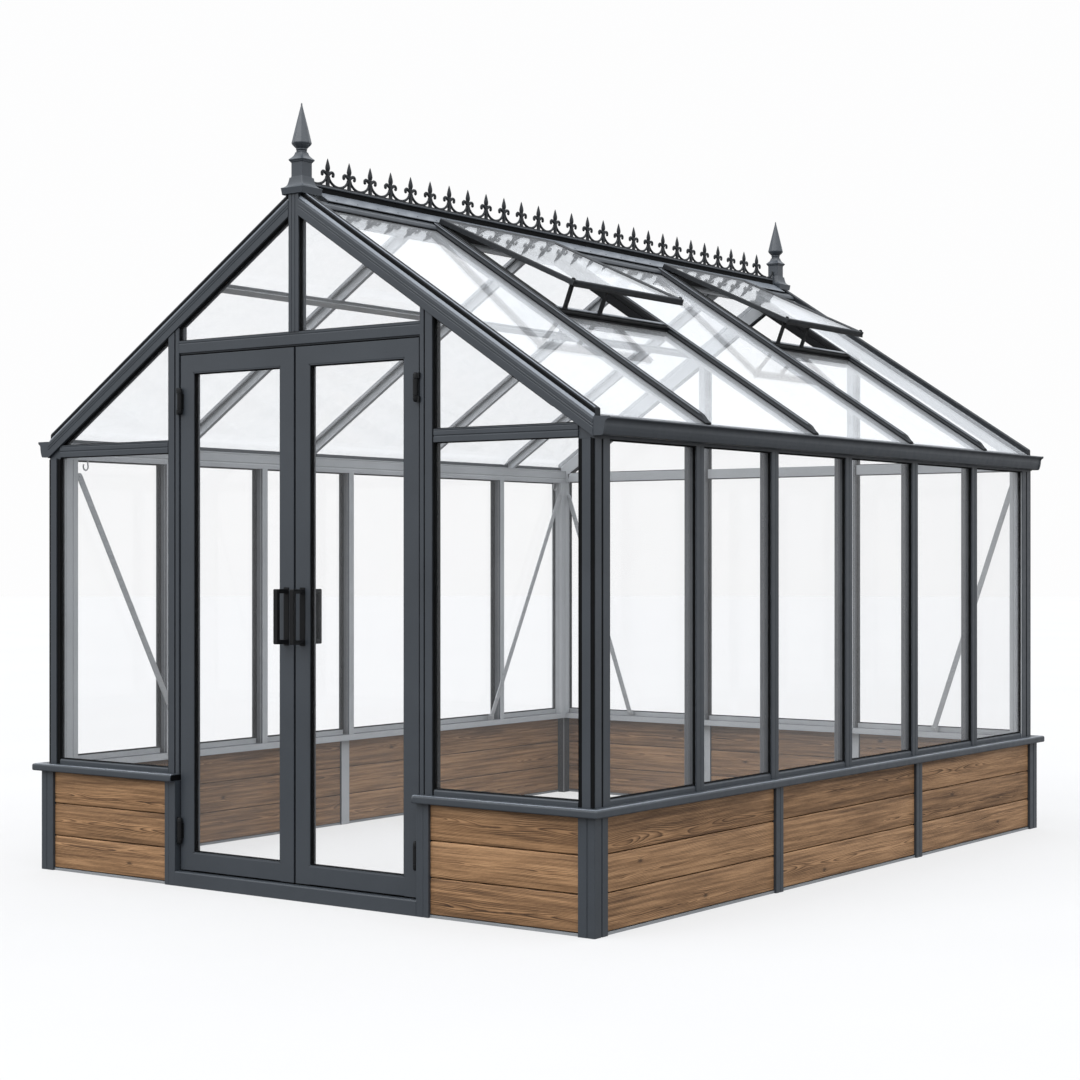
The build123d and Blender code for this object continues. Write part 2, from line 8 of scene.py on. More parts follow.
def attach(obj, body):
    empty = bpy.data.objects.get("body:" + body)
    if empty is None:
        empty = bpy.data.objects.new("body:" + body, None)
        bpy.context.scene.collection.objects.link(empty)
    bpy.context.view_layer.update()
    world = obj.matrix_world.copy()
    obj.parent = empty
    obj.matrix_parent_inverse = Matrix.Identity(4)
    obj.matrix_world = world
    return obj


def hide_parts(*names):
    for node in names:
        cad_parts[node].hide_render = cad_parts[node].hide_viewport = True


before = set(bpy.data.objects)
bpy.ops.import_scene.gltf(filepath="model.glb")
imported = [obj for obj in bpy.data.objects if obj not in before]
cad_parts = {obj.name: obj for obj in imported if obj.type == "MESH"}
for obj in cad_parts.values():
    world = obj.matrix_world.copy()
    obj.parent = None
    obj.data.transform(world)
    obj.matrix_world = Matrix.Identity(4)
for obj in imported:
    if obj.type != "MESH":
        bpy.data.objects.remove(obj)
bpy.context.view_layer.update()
rng = random.Random(11)

# ---------------------------------------------------------------------------
# Sizes in millimetres from the building's centre line; SHIFT_Y centres the box.
# ---------------------------------------------------------------------------
SHIFT_Y = 5.5
HW, HL = 1375.0, 1830.0
UX, UY = 1355.0, 1810.0
NX, NY = 1401.0, 1856.0
SILL_Z0, SILL_Z1, UP_Z = 403.0, 431.0, 453.0
SIN_X, SIN_Y = 1290.0, 1745.0
GX0, GX1 = 1336.0, 1340.0
GY0, GY1 = 1791.0, 1795.0
BAR, WEB = 54.0, 34.0
FIRST_BAR = {1: -1131.0, -1: -1186.0}
SIDE_BARS = {s: [FIRST_BAR[s], -593.0, 0.0, 593.0, 1186.0] for s in (1, -1)}
REAR_X = 430.0
CL = 102.0
EAVE_Z0 = 1673.0
PITCH = 33.0
CP, SP, TP = math.cos(math.radians(PITCH)), math.sin(math.radians(PITCH)), math.tan(math.radians(PITCH))
RIDGE_Z = 2632.0
BARGE = 62.0
CAPH = 20.0
ROOF_IN = 1768.0
ROOF_Y = [-1074.0, -270.0, 560.0, 1300.0]
DOOR_HALF, POST_W = 604.0, 62.0
LEAF_Y = -1805.0
FIN_Y = 1766.0
TOP = 2970.0
VENTS = [((ROOF_Y[k] + ROOF_Y[k + 1]) / 2, (ROOF_Y[k + 1] - ROOF_Y[k]) / 2) for k in (0, 2)]
VS0, VS1 = 92.0, 800.0
OPEN = 8.5


def roof(x, v=0.0):
    return RIDGE_Z - abs(x) * TP + v / CP


def sv(s, v):
    return (s * CP + v * SP, RIDGE_Z - s * SP + v * CP)


H0 = sv(VS0, CAPH + 3)


def sash_pt(r, t):
    a = math.radians(PITCH - OPEN)
    return (H0[0] + r * math.cos(a) + t * math.sin(a), H0[1] - r * math.sin(a) + t * math.cos(a))


# ------------------------------------------------------------ mesh building ---
class Mesh:
    def __init__(self):
        self.v, self.f, self.m, self.a = [], [], [], {}

    def add(self, verts, faces, mat=0, **attrs):
        base = len(self.v)
        self.v += [tuple(p) for p in verts]
        self.f += [tuple(i + base for i in f) for f in faces]
        self.m += [mat] * len(faces)
        for k, vals in attrs.items():
            self.a.setdefault(k, {})
            for i, val in enumerate(vals):
                self.a[k][base + i] = val
        return base

    def build(self, name, mats, body="root", slot=None, replaces=(), angle=32, bevel=0.0, bevel_seg=2, weighted=True, inside=None):
        me = bpy.data.meshes.new(name)
        me.from_pydata([(x * 0.001, (y + SHIFT_Y) * 0.001, z * 0.001) for x, y, z in self.v], [], self.f)
        for m in mats:
            me.materials.append(m)
        me.polygons.foreach_set("material_index", self.m)
        bm = bmesh.new()
        bm.from_mesh(me)
        bmesh.ops.recalc_face_normals(bm, faces=bm.faces)
        bm.to_mesh(me)
        bm.free()
        # faces turned inwards get the much lighter coat: painted light standing in for the light inside the house
        if inside:
            idx, lim_x, lim_y, keep = (tuple(inside) + (0,))[:4]
            for pg in me.polygons:
                cx, cy = pg.center.x * 1000, pg.center.y * 1000 - SHIFT_Y
                side = 1280 < abs(cx) < lim_x and abs(cy) < 1785 and pg.normal.x * cx < -600
                end = 1700 < abs(cy) < lim_y and abs(cx) < lim_x and pg.normal.y * cy < -800
                if pg.material_index in (0, keep) and (side or end):
                    pg.material_index = idx
        for k, vals in self.a.items():
            at = me.attributes.new(k, "FLOAT_VECTOR", "POINT")
            flat = []
            for i in range(len(self.v)):
                flat += list(vals.get(i, (0.0, 0.0, 0.0)))
            at.data.foreach_set("vector", flat)
        me.shade_smooth()
        me.set_sharp_from_angle(angle=math.radians(angle))
        ob = bpy.data.objects.new(name, me)
        bpy.context.scene.collection.objects.link(ob)
        if bevel:
            bv = ob.modifiers.new("edges", "BEVEL")
            bv.width, bv.segments, bv.limit_method = bevel * 0.001, bevel_seg, "ANGLE"
            bv.angle_limit = math.radians(40)
            bv.harden_normals = False
        if weighted:
            wn = ob.modifiers.new("normals", "WEIGHTED_NORMAL")
            wn.keep_sharp = True
            wn.weight = 80
        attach(ob, body)
        if replaces:
            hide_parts(*replaces)
        return ob


def rnd(prof, r=2.0, seg=2):
    """Rounds the corners of a polygon; r is one radius or one for each corner."""
    out, n = [], len(prof)
    for i in range(n):
        ri = r[i] if isinstance(r, (list, tuple)) else r
        p0, p1, p2 = Vector(prof[i - 1]), Vector(prof[i]), Vector(prof[(i + 1) % n])
        a, b = p0 - p1, p2 - p1
        if ri <= 0 or a.length < 1e-6 or b.length < 1e-6:
            out.append(tuple(p1))
            continue
        d = min(ri, 0.45 * a.length, 0.45 * b.length)
        A, B = p1 + a.normalized() * d, p1 + b.normalized() * d
        for k in range(seg + 1):
            t = k / seg
            q = A * (1 - t) ** 2 + p1 * (2 * t * (1 - t)) + B * t * t
            out.append(tuple(q))
    return out


def sweep(M, prof, place, w0, w1, mat=0, cap=True, attr=None):
    n = len(prof)
    f0 = w0 if callable(w0) else (lambda p: w0)
    f1 = w1 if callable(w1) else (lambda p: w1)
    pts = [(p, f0(p)) for p in prof] + [(p, f1(p)) for p in prof]
    vs = [place(p, w) for p, w in pts]
    fs = [(i, (i + 1) % n, n + (i + 1) % n, n + i) for i in range(n)]
    if cap:
        fs += [tuple(range(n))[::-1], tuple(range(n, 2 * n))]
    kw = {}
    if attr:
        for k, fn in attr.items():
            kw[k] = [fn(p, w) for p, w in pts]
    return M.add(vs, fs, mat, **kw)


def loft(M, rings, mat=0, cap=True):
    n = len(rings[0])
    vs = [p for r in rings for p in r]
    fs = []
    for k in range(len(rings) - 1):
        a, b = k * n, (k + 1) * n
        fs += [(a + i, a + (i + 1) % n, b + (i + 1) % n, b + i) for i in range(n)]
    if cap:
        fs += [tuple(range(n))[::-1], tuple(range((len(rings) - 1) * n, len(rings) * n))]
    return M.add(vs, fs, mat)


def tube(M, path, radii, n=8, mat=0, flat=None):
    """A tube through points in space; radii is one radius or one for each point."""
    P = [Vector(p) for p in path]
    R = radii if isinstance(radii, (list, tuple)) else [radii] * len(P)
    rings = []
    up = Vector((1, 0, 0)) if flat is None else Vector(flat)
    for i, p in enumerate(P):
        t = (P[min(i + 1, len(P) - 1)] - P[max(i - 1, 0)]).normalized()
        a = up - t * up.dot(t)
        a = a.normalized() if a.length > 1e-6 else t.orthogonal().normalized()
        b = t.cross(a)
        ra, rb = R[i] if isinstance(R[i], (list, tuple)) else (R[i], R[i])
        rings.append([tuple(p + a * ra * math.cos(2 * math.pi * k / n) + b * rb * math.sin(2 * math.pi * k / n)) for k in range(n)])
    loft(M, rings, mat)


def ball(M, c, r, n=10, m=7, mat=0, squash=(1, 1, 1)):
    rings = []
    for j in range(m):
        ph = math.pi * (0.06 + 0.88 * j / (m - 1)) - math.pi / 2
        rings.append([(c[0] + squash[0] * r * math.cos(ph) * math.cos(2 * math.pi * k / n),
                       c[1] + squash[1] * r * math.cos(ph) * math.sin(2 * math.pi * k / n),
                       c[2] + squash[2] * r * math.sin(ph)) for k in range(n)])
    loft(M, rings, mat)


def disc(M, c, axis, r, h, n=16, mat=0, dome=0.0, slot_w=0.0):
    """A round head on a face: c on the face, axis pointing out of it."""
    ax = Vector(axis).normalized()
    a = ax.orthogonal().normalized()
    b = ax.cross(a)
    C = Vector(c)
    lv = [(0.0, r), (h * 0.6, r), (h, r * 0.82)] + ([(h + dome, r * 0.4)] if dome else [])
    loft(M, [[tuple(C + ax * z + a * q * math.cos(2 * math.pi * k / n) + b * q * math.sin(2 * math.pi * k / n)) for k in range(n)] for z, q in lv], mat)


def block(M, x0, x1, y0, y1, z0, z1, r=1.2, axis="z", mat=0, seg=2):
    x0, x1 = min(x0, x1), max(x0, x1)
    y0, y1 = min(y0, y1), max(y0, y1)
    if axis == "z":
        sweep(M, rnd([(x0, y0), (x1, y0), (x1, y1), (x0, y1)], r, seg), PZ, z0, z1, mat)
    elif axis == "y":
        sweep(M, rnd([(x0, z0), (x1, z0), (x1, z1), (x0, z1)], r, seg), PY, y0, y1, mat)
    else:
        sweep(M, rnd([(y0, z0), (y1, z0), (y1, z1), (y0, z1)], r, seg), PX, x0, x1, mat)


def PZ(p, w):
    return (p[0], p[1], w)


def PY(p, w):
    return (p[0], w, p[1])


def PX(p, w):
    return (w, p[0], p[1])


def QZ(sx, sy):
    return lambda p, w: (sx * p[0], sy * p[1], w)


def QY(sx):
    return lambda p, w: (sx * p[0], w, p[1])


def slope_s(side):
    """Profile in (y, v), swept down the slope: w is s."""
    return lambda p, w: (side * sv(w, p[1])[0], p[0], sv(w, p[1])[1])


def slope_y(side):
    """Profile in (s, v), swept along the building: w is y."""
    return lambda p, w: (side * sv(p[0], p[1])[0], w, sv(p[0], p[1])[1])


def plumb(x, k=1):
    """Where a slope profile meets the upright plane at x; p is (y, v)."""
    return lambda p: (x - p[k] * SP) / CP


def inset(poly, d):
    """Moves the sides of a convex polygon inwards by d."""
    n = len(poly)
    area = sum(poly[i][0] * poly[(i + 1) % n][1] - poly[(i + 1) % n][0] * poly[i][1] for i in range(n))
    sg = 1 if area > 0 else -1
    lines = []
    for i in range(n):
        p, q = Vector(poly[i]), Vector(poly[(i + 1) % n])
        t = (q - p).normalized()
        nrm = Vector((-t.y, t.x)) * sg
        lines.append((p + nrm * d, t))
    out = []
    for i in range(n):
        p, t = lines[i - 1]
        q, u = lines[i]
        den = t.x * u.y - t.y * u.x
        k = ((q.x - p.x) * u.y - (q.y - p.y) * u.x) / den
        out.append(tuple(p + t * k))
    return out


def gasket(M, poly, place, g, out, width=5.0, top=11.0, mat=0):
    """A wedge-shaped seal round a pane: poly in the pane's plane, g the glass face, out the outward sign."""
    a, b = poly, inset(poly, width)
    c = inset(poly, width * 0.45)
    n = len(poly)
    rings = [[place(p, g) for p in a], [place(p, g) for p in b], [place(p, g + out * 2.5) for p in b],
             [place(p, g + out * top) for p in c], [place(p, g + out * top) for p in a]]
    vs = [p for r in rings for p in r]
    fs = []
    for k in range(5):
        x, y = k * n, ((k + 1) % 5) * n
        fs += [(x + i, x + (i + 1) % n, y + (i + 1) % n, y + i) for i in range(n)]
    M.add(vs, fs, mat)


# ---------------------------------------------------------------- materials ---
def new_mat(name):
    m = bpy.data.materials.new(name)
    m.use_nodes = True
    nt = m.node_tree
    nt.nodes.clear()
    out = nt.nodes.new("ShaderNodeOutputMaterial")
    return m, nt, out


def node(nt, kind, **inputs):
    n = nt.nodes.new(kind)
    for k, v in inputs.items():
        if k.startswith("_"):
            setattr(n, k[1:], v)
        else:
            n.inputs[k.replace("__", " ")].default_value = v
    return n


def math_node(nt, op, a, b=None, c=None, clamp=False):
    n = nt.nodes.new("ShaderNodeMath")
    n.operation = op
    n.use_clamp = clamp
    for i, v in enumerate((a, b, c)):
        if v is None:
            continue
        if isinstance(v, (int, float)):
            n.inputs[i].default_value = v
        else:
            nt.links.new(v, n.inputs[i])
    return n.outputs[0]


def vscale(nt, vec, s):
    n = nt.nodes.new("ShaderNodeVectorMath")
    n.operation = "MULTIPLY"
    nt.links.new(vec, n.inputs[0])
    n.inputs[1].default_value = s
    return n.outputs[0]


def noise(nt, vec, scale=1.0, detail=2.0, rough=0.5, dist=0.0):
    n = node(nt, "ShaderNodeTexNoise", Scale=scale, Detail=detail, Roughness=rough, Distortion=dist)
    nt.links.new(vec, n.inputs["Vector"])
    return n


def ramp(nt, fac, stops, interp="LINEAR"):
    n = nt.nodes.new("ShaderNodeValToRGB")
    cr = n.color_ramp
    cr.interpolation = interp
    while len(cr.elements) < len(stops):
        cr.elements.new(0.5)
    for e, (pos, col) in zip(cr.elements, stops):
        e.position = pos
        e.color = (*col, 1.0) if len(col) == 3 else col
    nt.links.new(fac, n.inputs["Fac"])
    return n.outputs["Color"]


def map_range(nt, val, a, b, c, d):
    n = node(nt, "ShaderNodeMapRange")
    nt.links.new(val, n.inputs["Value"])
    for k, v in zip(("From Min", "From Max", "To Min", "To Max"), (a, b, c, d)):
        n.inputs[k].default_value = v
    return n.outputs["Result"]


def mixrgb(nt, fac, a, b, mode="MIX"):
    n = nt.nodes.new("ShaderNodeMix")
    n.data_type = "RGBA"
    n.blend_type = mode
    for sock, v in ((n.inputs[0], fac), (n.inputs[6], a), (n.inputs[7], b)):
        if isinstance(v, (int, float)):
            sock.default_value = v
        elif isinstance(v, tuple):
            sock.default_value = (*v, 1.0)
        else:
            nt.links.new(v, sock)
    return n.outputs[2]


def coated(name, dark, light, rough=(0.36, 0.5), bump=0.10, metallic=0.0, grain=None, spec=0.5, fine=1100.0):
    """Powder-coated or plain metal: cloudy tone, varying gloss and a fine skin."""
    m, nt, out = new_mat(name)
    tc = nt.nodes.new("ShaderNodeTexCoord")
    co = tc.outputs["Object"]
    cloud = noise(nt, co, 2.3, 5.0, 0.62)
    speck = noise(nt, co, 260.0, 2.0, 0.6)
    tone = mixrgb(nt, 0.35, cloud.outputs["Fac"], speck.outputs["Fac"])
    col = ramp(nt, tone, [(0.30, dark), (0.70, light)])
    if grain:
        g = noise(nt, vscale(nt, co, grain), 1.0, 3.0, 0.6)
        col = mixrgb(nt, 0.55, col, ramp(nt, g.outputs["Fac"], [(0.3, tuple(c * 0.72 for c in dark)), (0.75, tuple(min(1.0, c * 1.15) for c in light))]))
    rg = map_range(nt, noise(nt, co, 31.0, 4.0, 0.6).outputs["Fac"], 0.3, 0.7, rough[0], rough[1])
    skin = noise(nt, co, fine, 2.0, 0.5)
    bp = node(nt, "ShaderNodeBump", Strength=bump, Distance=0.0004)
    nt.links.new(skin.outputs["Fac"], bp.inputs["Height"])
    b = node(nt, "ShaderNodeBsdfPrincipled", Metallic=metallic)
    b.inputs["Specular IOR Level"].default_value = spec
    nt.links.new(col, b.inputs["Base Color"])
    nt.links.new(rg, b.inputs["Roughness"])
    nt.links.new(bp.outputs["Normal"], b.inputs["Normal"])
    nt.links.new(b.outputs["BSDF"], out.inputs["Surface"])
    return m


def glazing(name, tint, haze, haze_col, f0=0.04, streak=0.3, cap=1.0, rough=0.015):
    """Clear sheet: mostly lets light through, mirrors more at a slant, with a faint veil."""
    m, nt, out = new_mat(name)
    tc = nt.nodes.new("ShaderNodeTexCoord")
    co = tc.outputs["Object"]
    lw = node(nt, "ShaderNodeLayerWeight", Blend=0.5)
    p5 = math_node(nt, "POWER", lw.outputs["Facing"], 5.0)
    fr = math_node(nt, "MULTIPLY_ADD", p5, cap - f0, f0)
    wob = noise(nt, co, 1.7, 2.0, 0.5)
    tcol = ramp(nt, wob.outputs["Fac"], [(0.35, tint), (0.65, tuple(min(1.0, c * 1.012) for c in tint))])
    tr = node(nt, "ShaderNodeBsdfTransparent")
    nt.links.new(tcol, tr.inputs["Color"])
    df = node(nt, "ShaderNodeBsdfDiffuse")
    nt.links.new(ramp(nt, wob.outputs["Fac"], [(0.3, tuple(c * 0.96 for c in haze_col)), (0.7, haze_col)]), df.inputs["Color"])
    tl = node(nt, "ShaderNodeBsdfTranslucent")
    tl.inputs["Color"].default_value = (*haze_col, 1.0)
    veil = nt.nodes.new("ShaderNodeMixShader")
    veil.inputs["Fac"].default_value = 0.5
    nt.links.new(df.outputs["BSDF"], veil.inputs[1])
    nt.links.new(tl.outputs["BSDF"], veil.inputs[2])
    hz = noise(nt, co, 3.1, 4.0, 0.6)
    hf = map_range(nt, hz.outputs["Fac"], 0.3, 0.7, haze * (1 - streak), haze * (1 + streak))
    base = nt.nodes.new("ShaderNodeMixShader")
    nt.links.new(hf, base.inputs["Fac"])
    nt.links.new(tr.outputs["BSDF"], base.inputs[1])
    nt.links.new(veil.outputs["Shader"], base.inputs[2])
    gl = node(nt, "ShaderNodeBsdfGlossy", Roughness=rough)
    gl.inputs["Color"].default_value = (0.985, 0.993, 1.0, 1.0)
    mx = nt.nodes.new("ShaderNodeMixShader")
    nt.links.new(fr, mx.inputs["Fac"])
    nt.links.new(base.outputs["Shader"], mx.inputs[1])
    nt.links.new(gl.outputs["BSDF"], mx.inputs[2])
    nt.links.new(mx.outputs["Shader"], out.inputs["Surface"])
    return m


def timber(name):
    """Boards: growth rings cut on the flat, fibre streaks, pores and knots."""
    m, nt, out = new_mat(name)
    at = node(nt, "ShaderNodeAttribute", _attribute_name="grain")
    rn = node(nt, "ShaderNodeAttribute", _attribute_name="board")
    kn = node(nt, "ShaderNodeAttribute", _attribute_name="knot")
    sep = nt.nodes.new("ShaderNodeSeparateXYZ")
    nt.links.new(at.outputs["Vector"], sep.inputs[0])
    u, v, w = sep.outputs
    sr = nt.nodes.new("ShaderNodeSeparateXYZ")
    nt.links.new(rn.outputs["Vector"], sr.inputs[0])
    r0, r1, r2 = sr.outputs
    sk = nt.nodes.new("ShaderNodeSeparateXYZ")
    nt.links.new(kn.outputs["Vector"], sk.inputs[0])
    ku, kv, ks = sk.outputs
    P = at.outputs["Vector"]
    n1 = noise(nt, vscale(nt, P, (1.5, 3.0, 3.0)), 1.0, 2.0, 0.5)
    n2 = noise(nt, vscale(nt, P, (3.2, 7.0, 7.0)), 1.0, 2.0, 0.5)
    n3 = noise(nt, vscale(nt, P, (13.0, 70.0, 70.0)), 1.0, 3.0, 0.6)
    depth = math_node(nt, "MULTIPLY_ADD", math_node(nt, "SUBTRACT", n1.outputs["Fac"], 0.5), 0.13, math_node(nt, "MULTIPLY_ADD", r0, 0.05, -0.025))
    du = math_node(nt, "SUBTRACT", u, ku)
    dv = math_node(nt, "SUBTRACT", v, kv)
    kd = math_node(nt, "SQRT", math_node(nt, "ADD", math_node(nt, "POWER", math_node(nt, "MULTIPLY", math_node(nt, "ABSOLUTE", du), 0.42), 2.0),
                                         math_node(nt, "POWER", math_node(nt, "ABSOLUTE", dv), 2.0)))
    pull = math_node(nt, "MULTIPLY", math_node(nt, "EXPONENT", math_node(nt, "MULTIPLY", kd, -60.0)), 0.035)
    vv = math_node(nt, "ADD", v, math_node(nt, "MULTIPLY_ADD", math_node(nt, "SUBTRACT", n2.outputs["Fac"], 0.5), 0.045, math_node(nt, "MULTIPLY_ADD", r1, 0.07, -0.035)))
    vv = math_node(nt, "MULTIPLY", vv, 1.9)
    R = math_node(nt, "SQRT", math_node(nt, "ADD", math_node(nt, "MULTIPLY", vv, vv), math_node(nt, "MULTIPLY", depth, depth)))
    R = math_node(nt, "ADD", R, math_node(nt, "MULTIPLY", math_node(nt, "SUBTRACT", n3.outputs["Fac"], 0.5), 0.0045))
    R = math_node(nt, "ADD", R, pull)
    t = math_node(nt, "FRACT", math_node(nt, "MULTIPLY", R, 118.0))
    ring = ramp(nt, t, [(0.0, (0.0, 0.0, 0.0)), (0.25, (0.08, 0.08, 0.08)), (0.62, (0.40, 0.40, 0.40)), (0.84, (1.0, 1.0, 1.0)), (1.0, (0.0, 0.0, 0.0))])
    fib = noise(nt, vscale(nt, P, (11.0, 560.0, 560.0)), 1.0, 3.0, 0.65)
    streak = noise(nt, vscale(nt, P, (2.4, 78.0, 78.0)), 1.0, 4.0, 0.62)
    patch = noise(nt, vscale(nt, P, (3.0, 12.0, 12.0)), 1.0, 2.0, 0.5)
    f = math_node(nt, "MULTIPLY", ring, map_range(nt, patch.outputs["Fac"], 0.30, 0.70, 0.45, 1.0))
    f = math_node(nt, "ADD", math_node(nt, "MULTIPLY", f, 0.70), math_node(nt, "MULTIPLY_ADD", streak.outputs["Fac"], 1.35, -0.50))
    f = math_node(nt, "ADD", f, math_node(nt, "MULTIPLY_ADD", fib.outputs["Fac"], 0.62, -0.31))
    f = math_node(nt, "ADD", f, math_node(nt, "MULTIPLY_ADD", r2, 0.16, -0.08), clamp=True)
    col = ramp(nt, f, [(0.0, (0.412, 0.240, 0.122)), (0.26, (0.262, 0.145, 0.069)), (0.52, (0.134, 0.071, 0.034)), (0.78, (0.056, 0.030, 0.015)), (1.0, (0.024, 0.013, 0.008))])
    core = ramp(nt, kd, [(0.0, (1, 1, 1)), (0.0035, (0.8, 0.8, 0.8)), (0.009, (0, 0, 0))])
    core = math_node(nt, "MULTIPLY", core, ks)
    col = mixrgb(nt, core, col, (0.024, 0.013, 0.008))
    pores = noise(nt, vscale(nt, P, (60.0, 1300.0, 1300.0)), 1.0, 1.0, 0.5)
    pm = math_node(nt, "MULTIPLY", ramp(nt, pores.outputs["Fac"], [(0.60, (0, 0, 0)), (0.72, (1, 1, 1))]), 0.4)
    col = mixrgb(nt, pm, col, (0.030, 0.017, 0.010))
    b = node(nt, "ShaderNodeBsdfPrincipled", Metallic=0.0)
    b.inputs["Specular IOR Level"].default_value = 0.25
    nt.links.new(col, b.inputs["Base Color"])
    nt.links.new(map_range(nt, f, 0.0, 1.0, 0.48, 0.66), b.inputs["Roughness"])
    h = math_node(nt, "MULTIPLY_ADD", f, -0.7, math_node(nt, "MULTIPLY", pm, -0.6))
    bp = node(nt, "ShaderNodeBump", Strength=0.35, Distance=0.0008)
    nt.links.new(h, bp.inputs["Height"])
    nt.links.new(bp.outputs["Normal"], b.inputs["Normal"])
    nt.links.new(b.outputs["BSDF"], out.inputs["Surface"])
    return m


PAINT = coated("anthracite_coat", (0.0255, 0.0305, 0.037), (0.038, 0.045, 0.0535), rough=(0.36, 0.5), spec=0.42)
# darker copy of the frame paint for the caps of roof bars and barges: painted shade
PAINT_SHADED_CAP = coated("cap_painted_shade_coat", (0.007, 0.0085, 0.011), (0.0125, 0.015, 0.0185), rough=(0.44, 0.58), spec=0.24)
# much lighter copy of the frame paint for faces turned inwards: painted light for the lit interior
PAINT_LIT_INSIDE = coated("inside_painted_light_coat", (0.330, 0.345, 0.360), (0.430, 0.445, 0.460), rough=(0.42, 0.55))
# mid-grey copy of the frame paint for the bars' inner boxes behind the glass: painted light
PAINT_HALF_LIT = coated("half_lit_painted_coat", (0.052, 0.057, 0.064), (0.078, 0.084, 0.092), rough=(0.42, 0.55))
# lighter copy of the frame paint for flashing, lips and thin strips: painted highlight
PAINT_HIGHLIGHT = coated("painted_highlight_coat", (0.100, 0.113, 0.130), (0.150, 0.166, 0.186), rough=(0.30, 0.42))
# still lighter copy of the frame paint for edge strips on sills and barges: painted highlight
PAINT_EDGE = coated("lit_edge_coat", (0.135, 0.150, 0.172), (0.200, 0.220, 0.248), rough=(0.28, 0.4))
SEAL = coated("black_seal", (0.0022, 0.0024, 0.0027), (0.005, 0.0053, 0.0057), rough=(0.62, 0.8), bump=0.2, spec=0.08)
FITTING = coated("black_fitting", (0.0032, 0.0035, 0.0039), (0.0068, 0.0073, 0.0082), rough=(0.46, 0.6), bump=0.12, spec=0.18)
CAST = coated("cast_coat", (0.0075, 0.009, 0.011), (0.015, 0.0175, 0.0205), rough=(0.44, 0.58), bump=0.2, fine=700.0, spec=0.27)
FINIAL = coated("finial_coat", (0.028, 0.034, 0.042), (0.042, 0.050, 0.060), rough=(0.32, 0.44), bump=0.16, fine=700.0)
ALU = coated("mill_aluminium", (0.30, 0.315, 0.33), (0.45, 0.46, 0.47), rough=(0.34, 0.5), bump=0.1, metallic=0.4, grain=(18.0, 18.0, 420.0))
ALU_RAIL = coated("rail_aluminium", (0.20, 0.21, 0.22), (0.30, 0.31, 0.32), rough=(0.36, 0.5), bump=0.1, metallic=0.3, grain=(14.0, 14.0, 420.0))
# pale copy of the frame paint for the ridge beam: painted light from the roof glass
PAINT_LIT_BEAM = coated("ridge_beam_painted_light_coat", (0.48, 0.50, 0.52), (0.60, 0.62, 0.64), rough=(0.42, 0.55))
WOOD = timber("brown_boards")
GLASS = glazing("clear_glass", (0.998, 0.9985, 0.9995), 0.020, (0.97, 0.98, 0.99), f0=0.021)
GLASS_ROOF = glazing("roof_glass", (0.994, 0.997, 1.0), 0.16, (0.96, 0.98, 1.0), f0=0.03, cap=0.62, rough=0.03)

# ------------------------------------------------------------- board wall ---
side_posts = {1: [-593.0, 593.0], -1: [0.0]}
side_spans = {}
for sgn in (1, -1):
    e = [-(HL - 80.0)] + [c for y in side_posts[sgn] for c in (y - 28, y + 28)] + [HL - 80.0]
    side_spans[sgn] = list(zip(e[0::2], e[1::2]))
e = [-(HW - 70.0)] + [c for x in (-REAR_X, REAR_X) for c in (x - 28, x + 28)] + [HW - 70.0]
rear_spans = list(zip(e[0::2], e[1::2]))
front_spans = [(-(HW - 70.0), -661.0), (661.0, HW - 70.0)]


def rail_profile(o):
    """Shallow channel under the boards: o is the outer face's distance from the centre."""
    return [(o, 0), (o, 10), (o - 3, 10), (o - 3, 3), (o - 21, 3), (o - 21, 10), (o - 23, 10), (o - 23, 0)]


M = Mesh()
for sgn in (1, -1):
    for a, b in side_spans[sgn]:
        sweep(M, rnd([(sgn * p[0], p[1]) for p in rail_profile(HW - 9)], 0.6, 1), PY, a, b)
        for y in ((a + b) / 2, a + 60, b - 60):
            disc(M, (sgn * (HW - 32), y, 6.5), (-sgn, 0, 0), 3.0, 1.4, 10)
for a, b in rear_spans:
    sweep(M, rnd(rail_profile(HL - 9), 0.6, 1), PX, a, b)
for a, b in front_spans:
    sweep(M, rnd([(-p[0], p[1]) for p in rail_profile(HL - 9)], 0.6, 1), PX, a, b)
M.build("base_rail_channels", [ALU_RAIL], slot="bare_aluminium", replaces=["base_rails"], weighted=False)


def flute(x0, x1, y, out, xs, w=3.0, d=1.6):
    """Points along one face from x0 to x1 with small grooves at xs; out is the sign of the face's outward side."""
    pts = [(x0, y)]
    for x in xs:
        s = 1 if x1 > x0 else -1
        pts += [(x - s * w / 2, y), (x - s * w / 2 * 0.4, y - out * d), (x + s * w / 2 * 0.4, y - out * d), (x + s * w / 2, y)]
    pts.append((x1, y))
    return pts


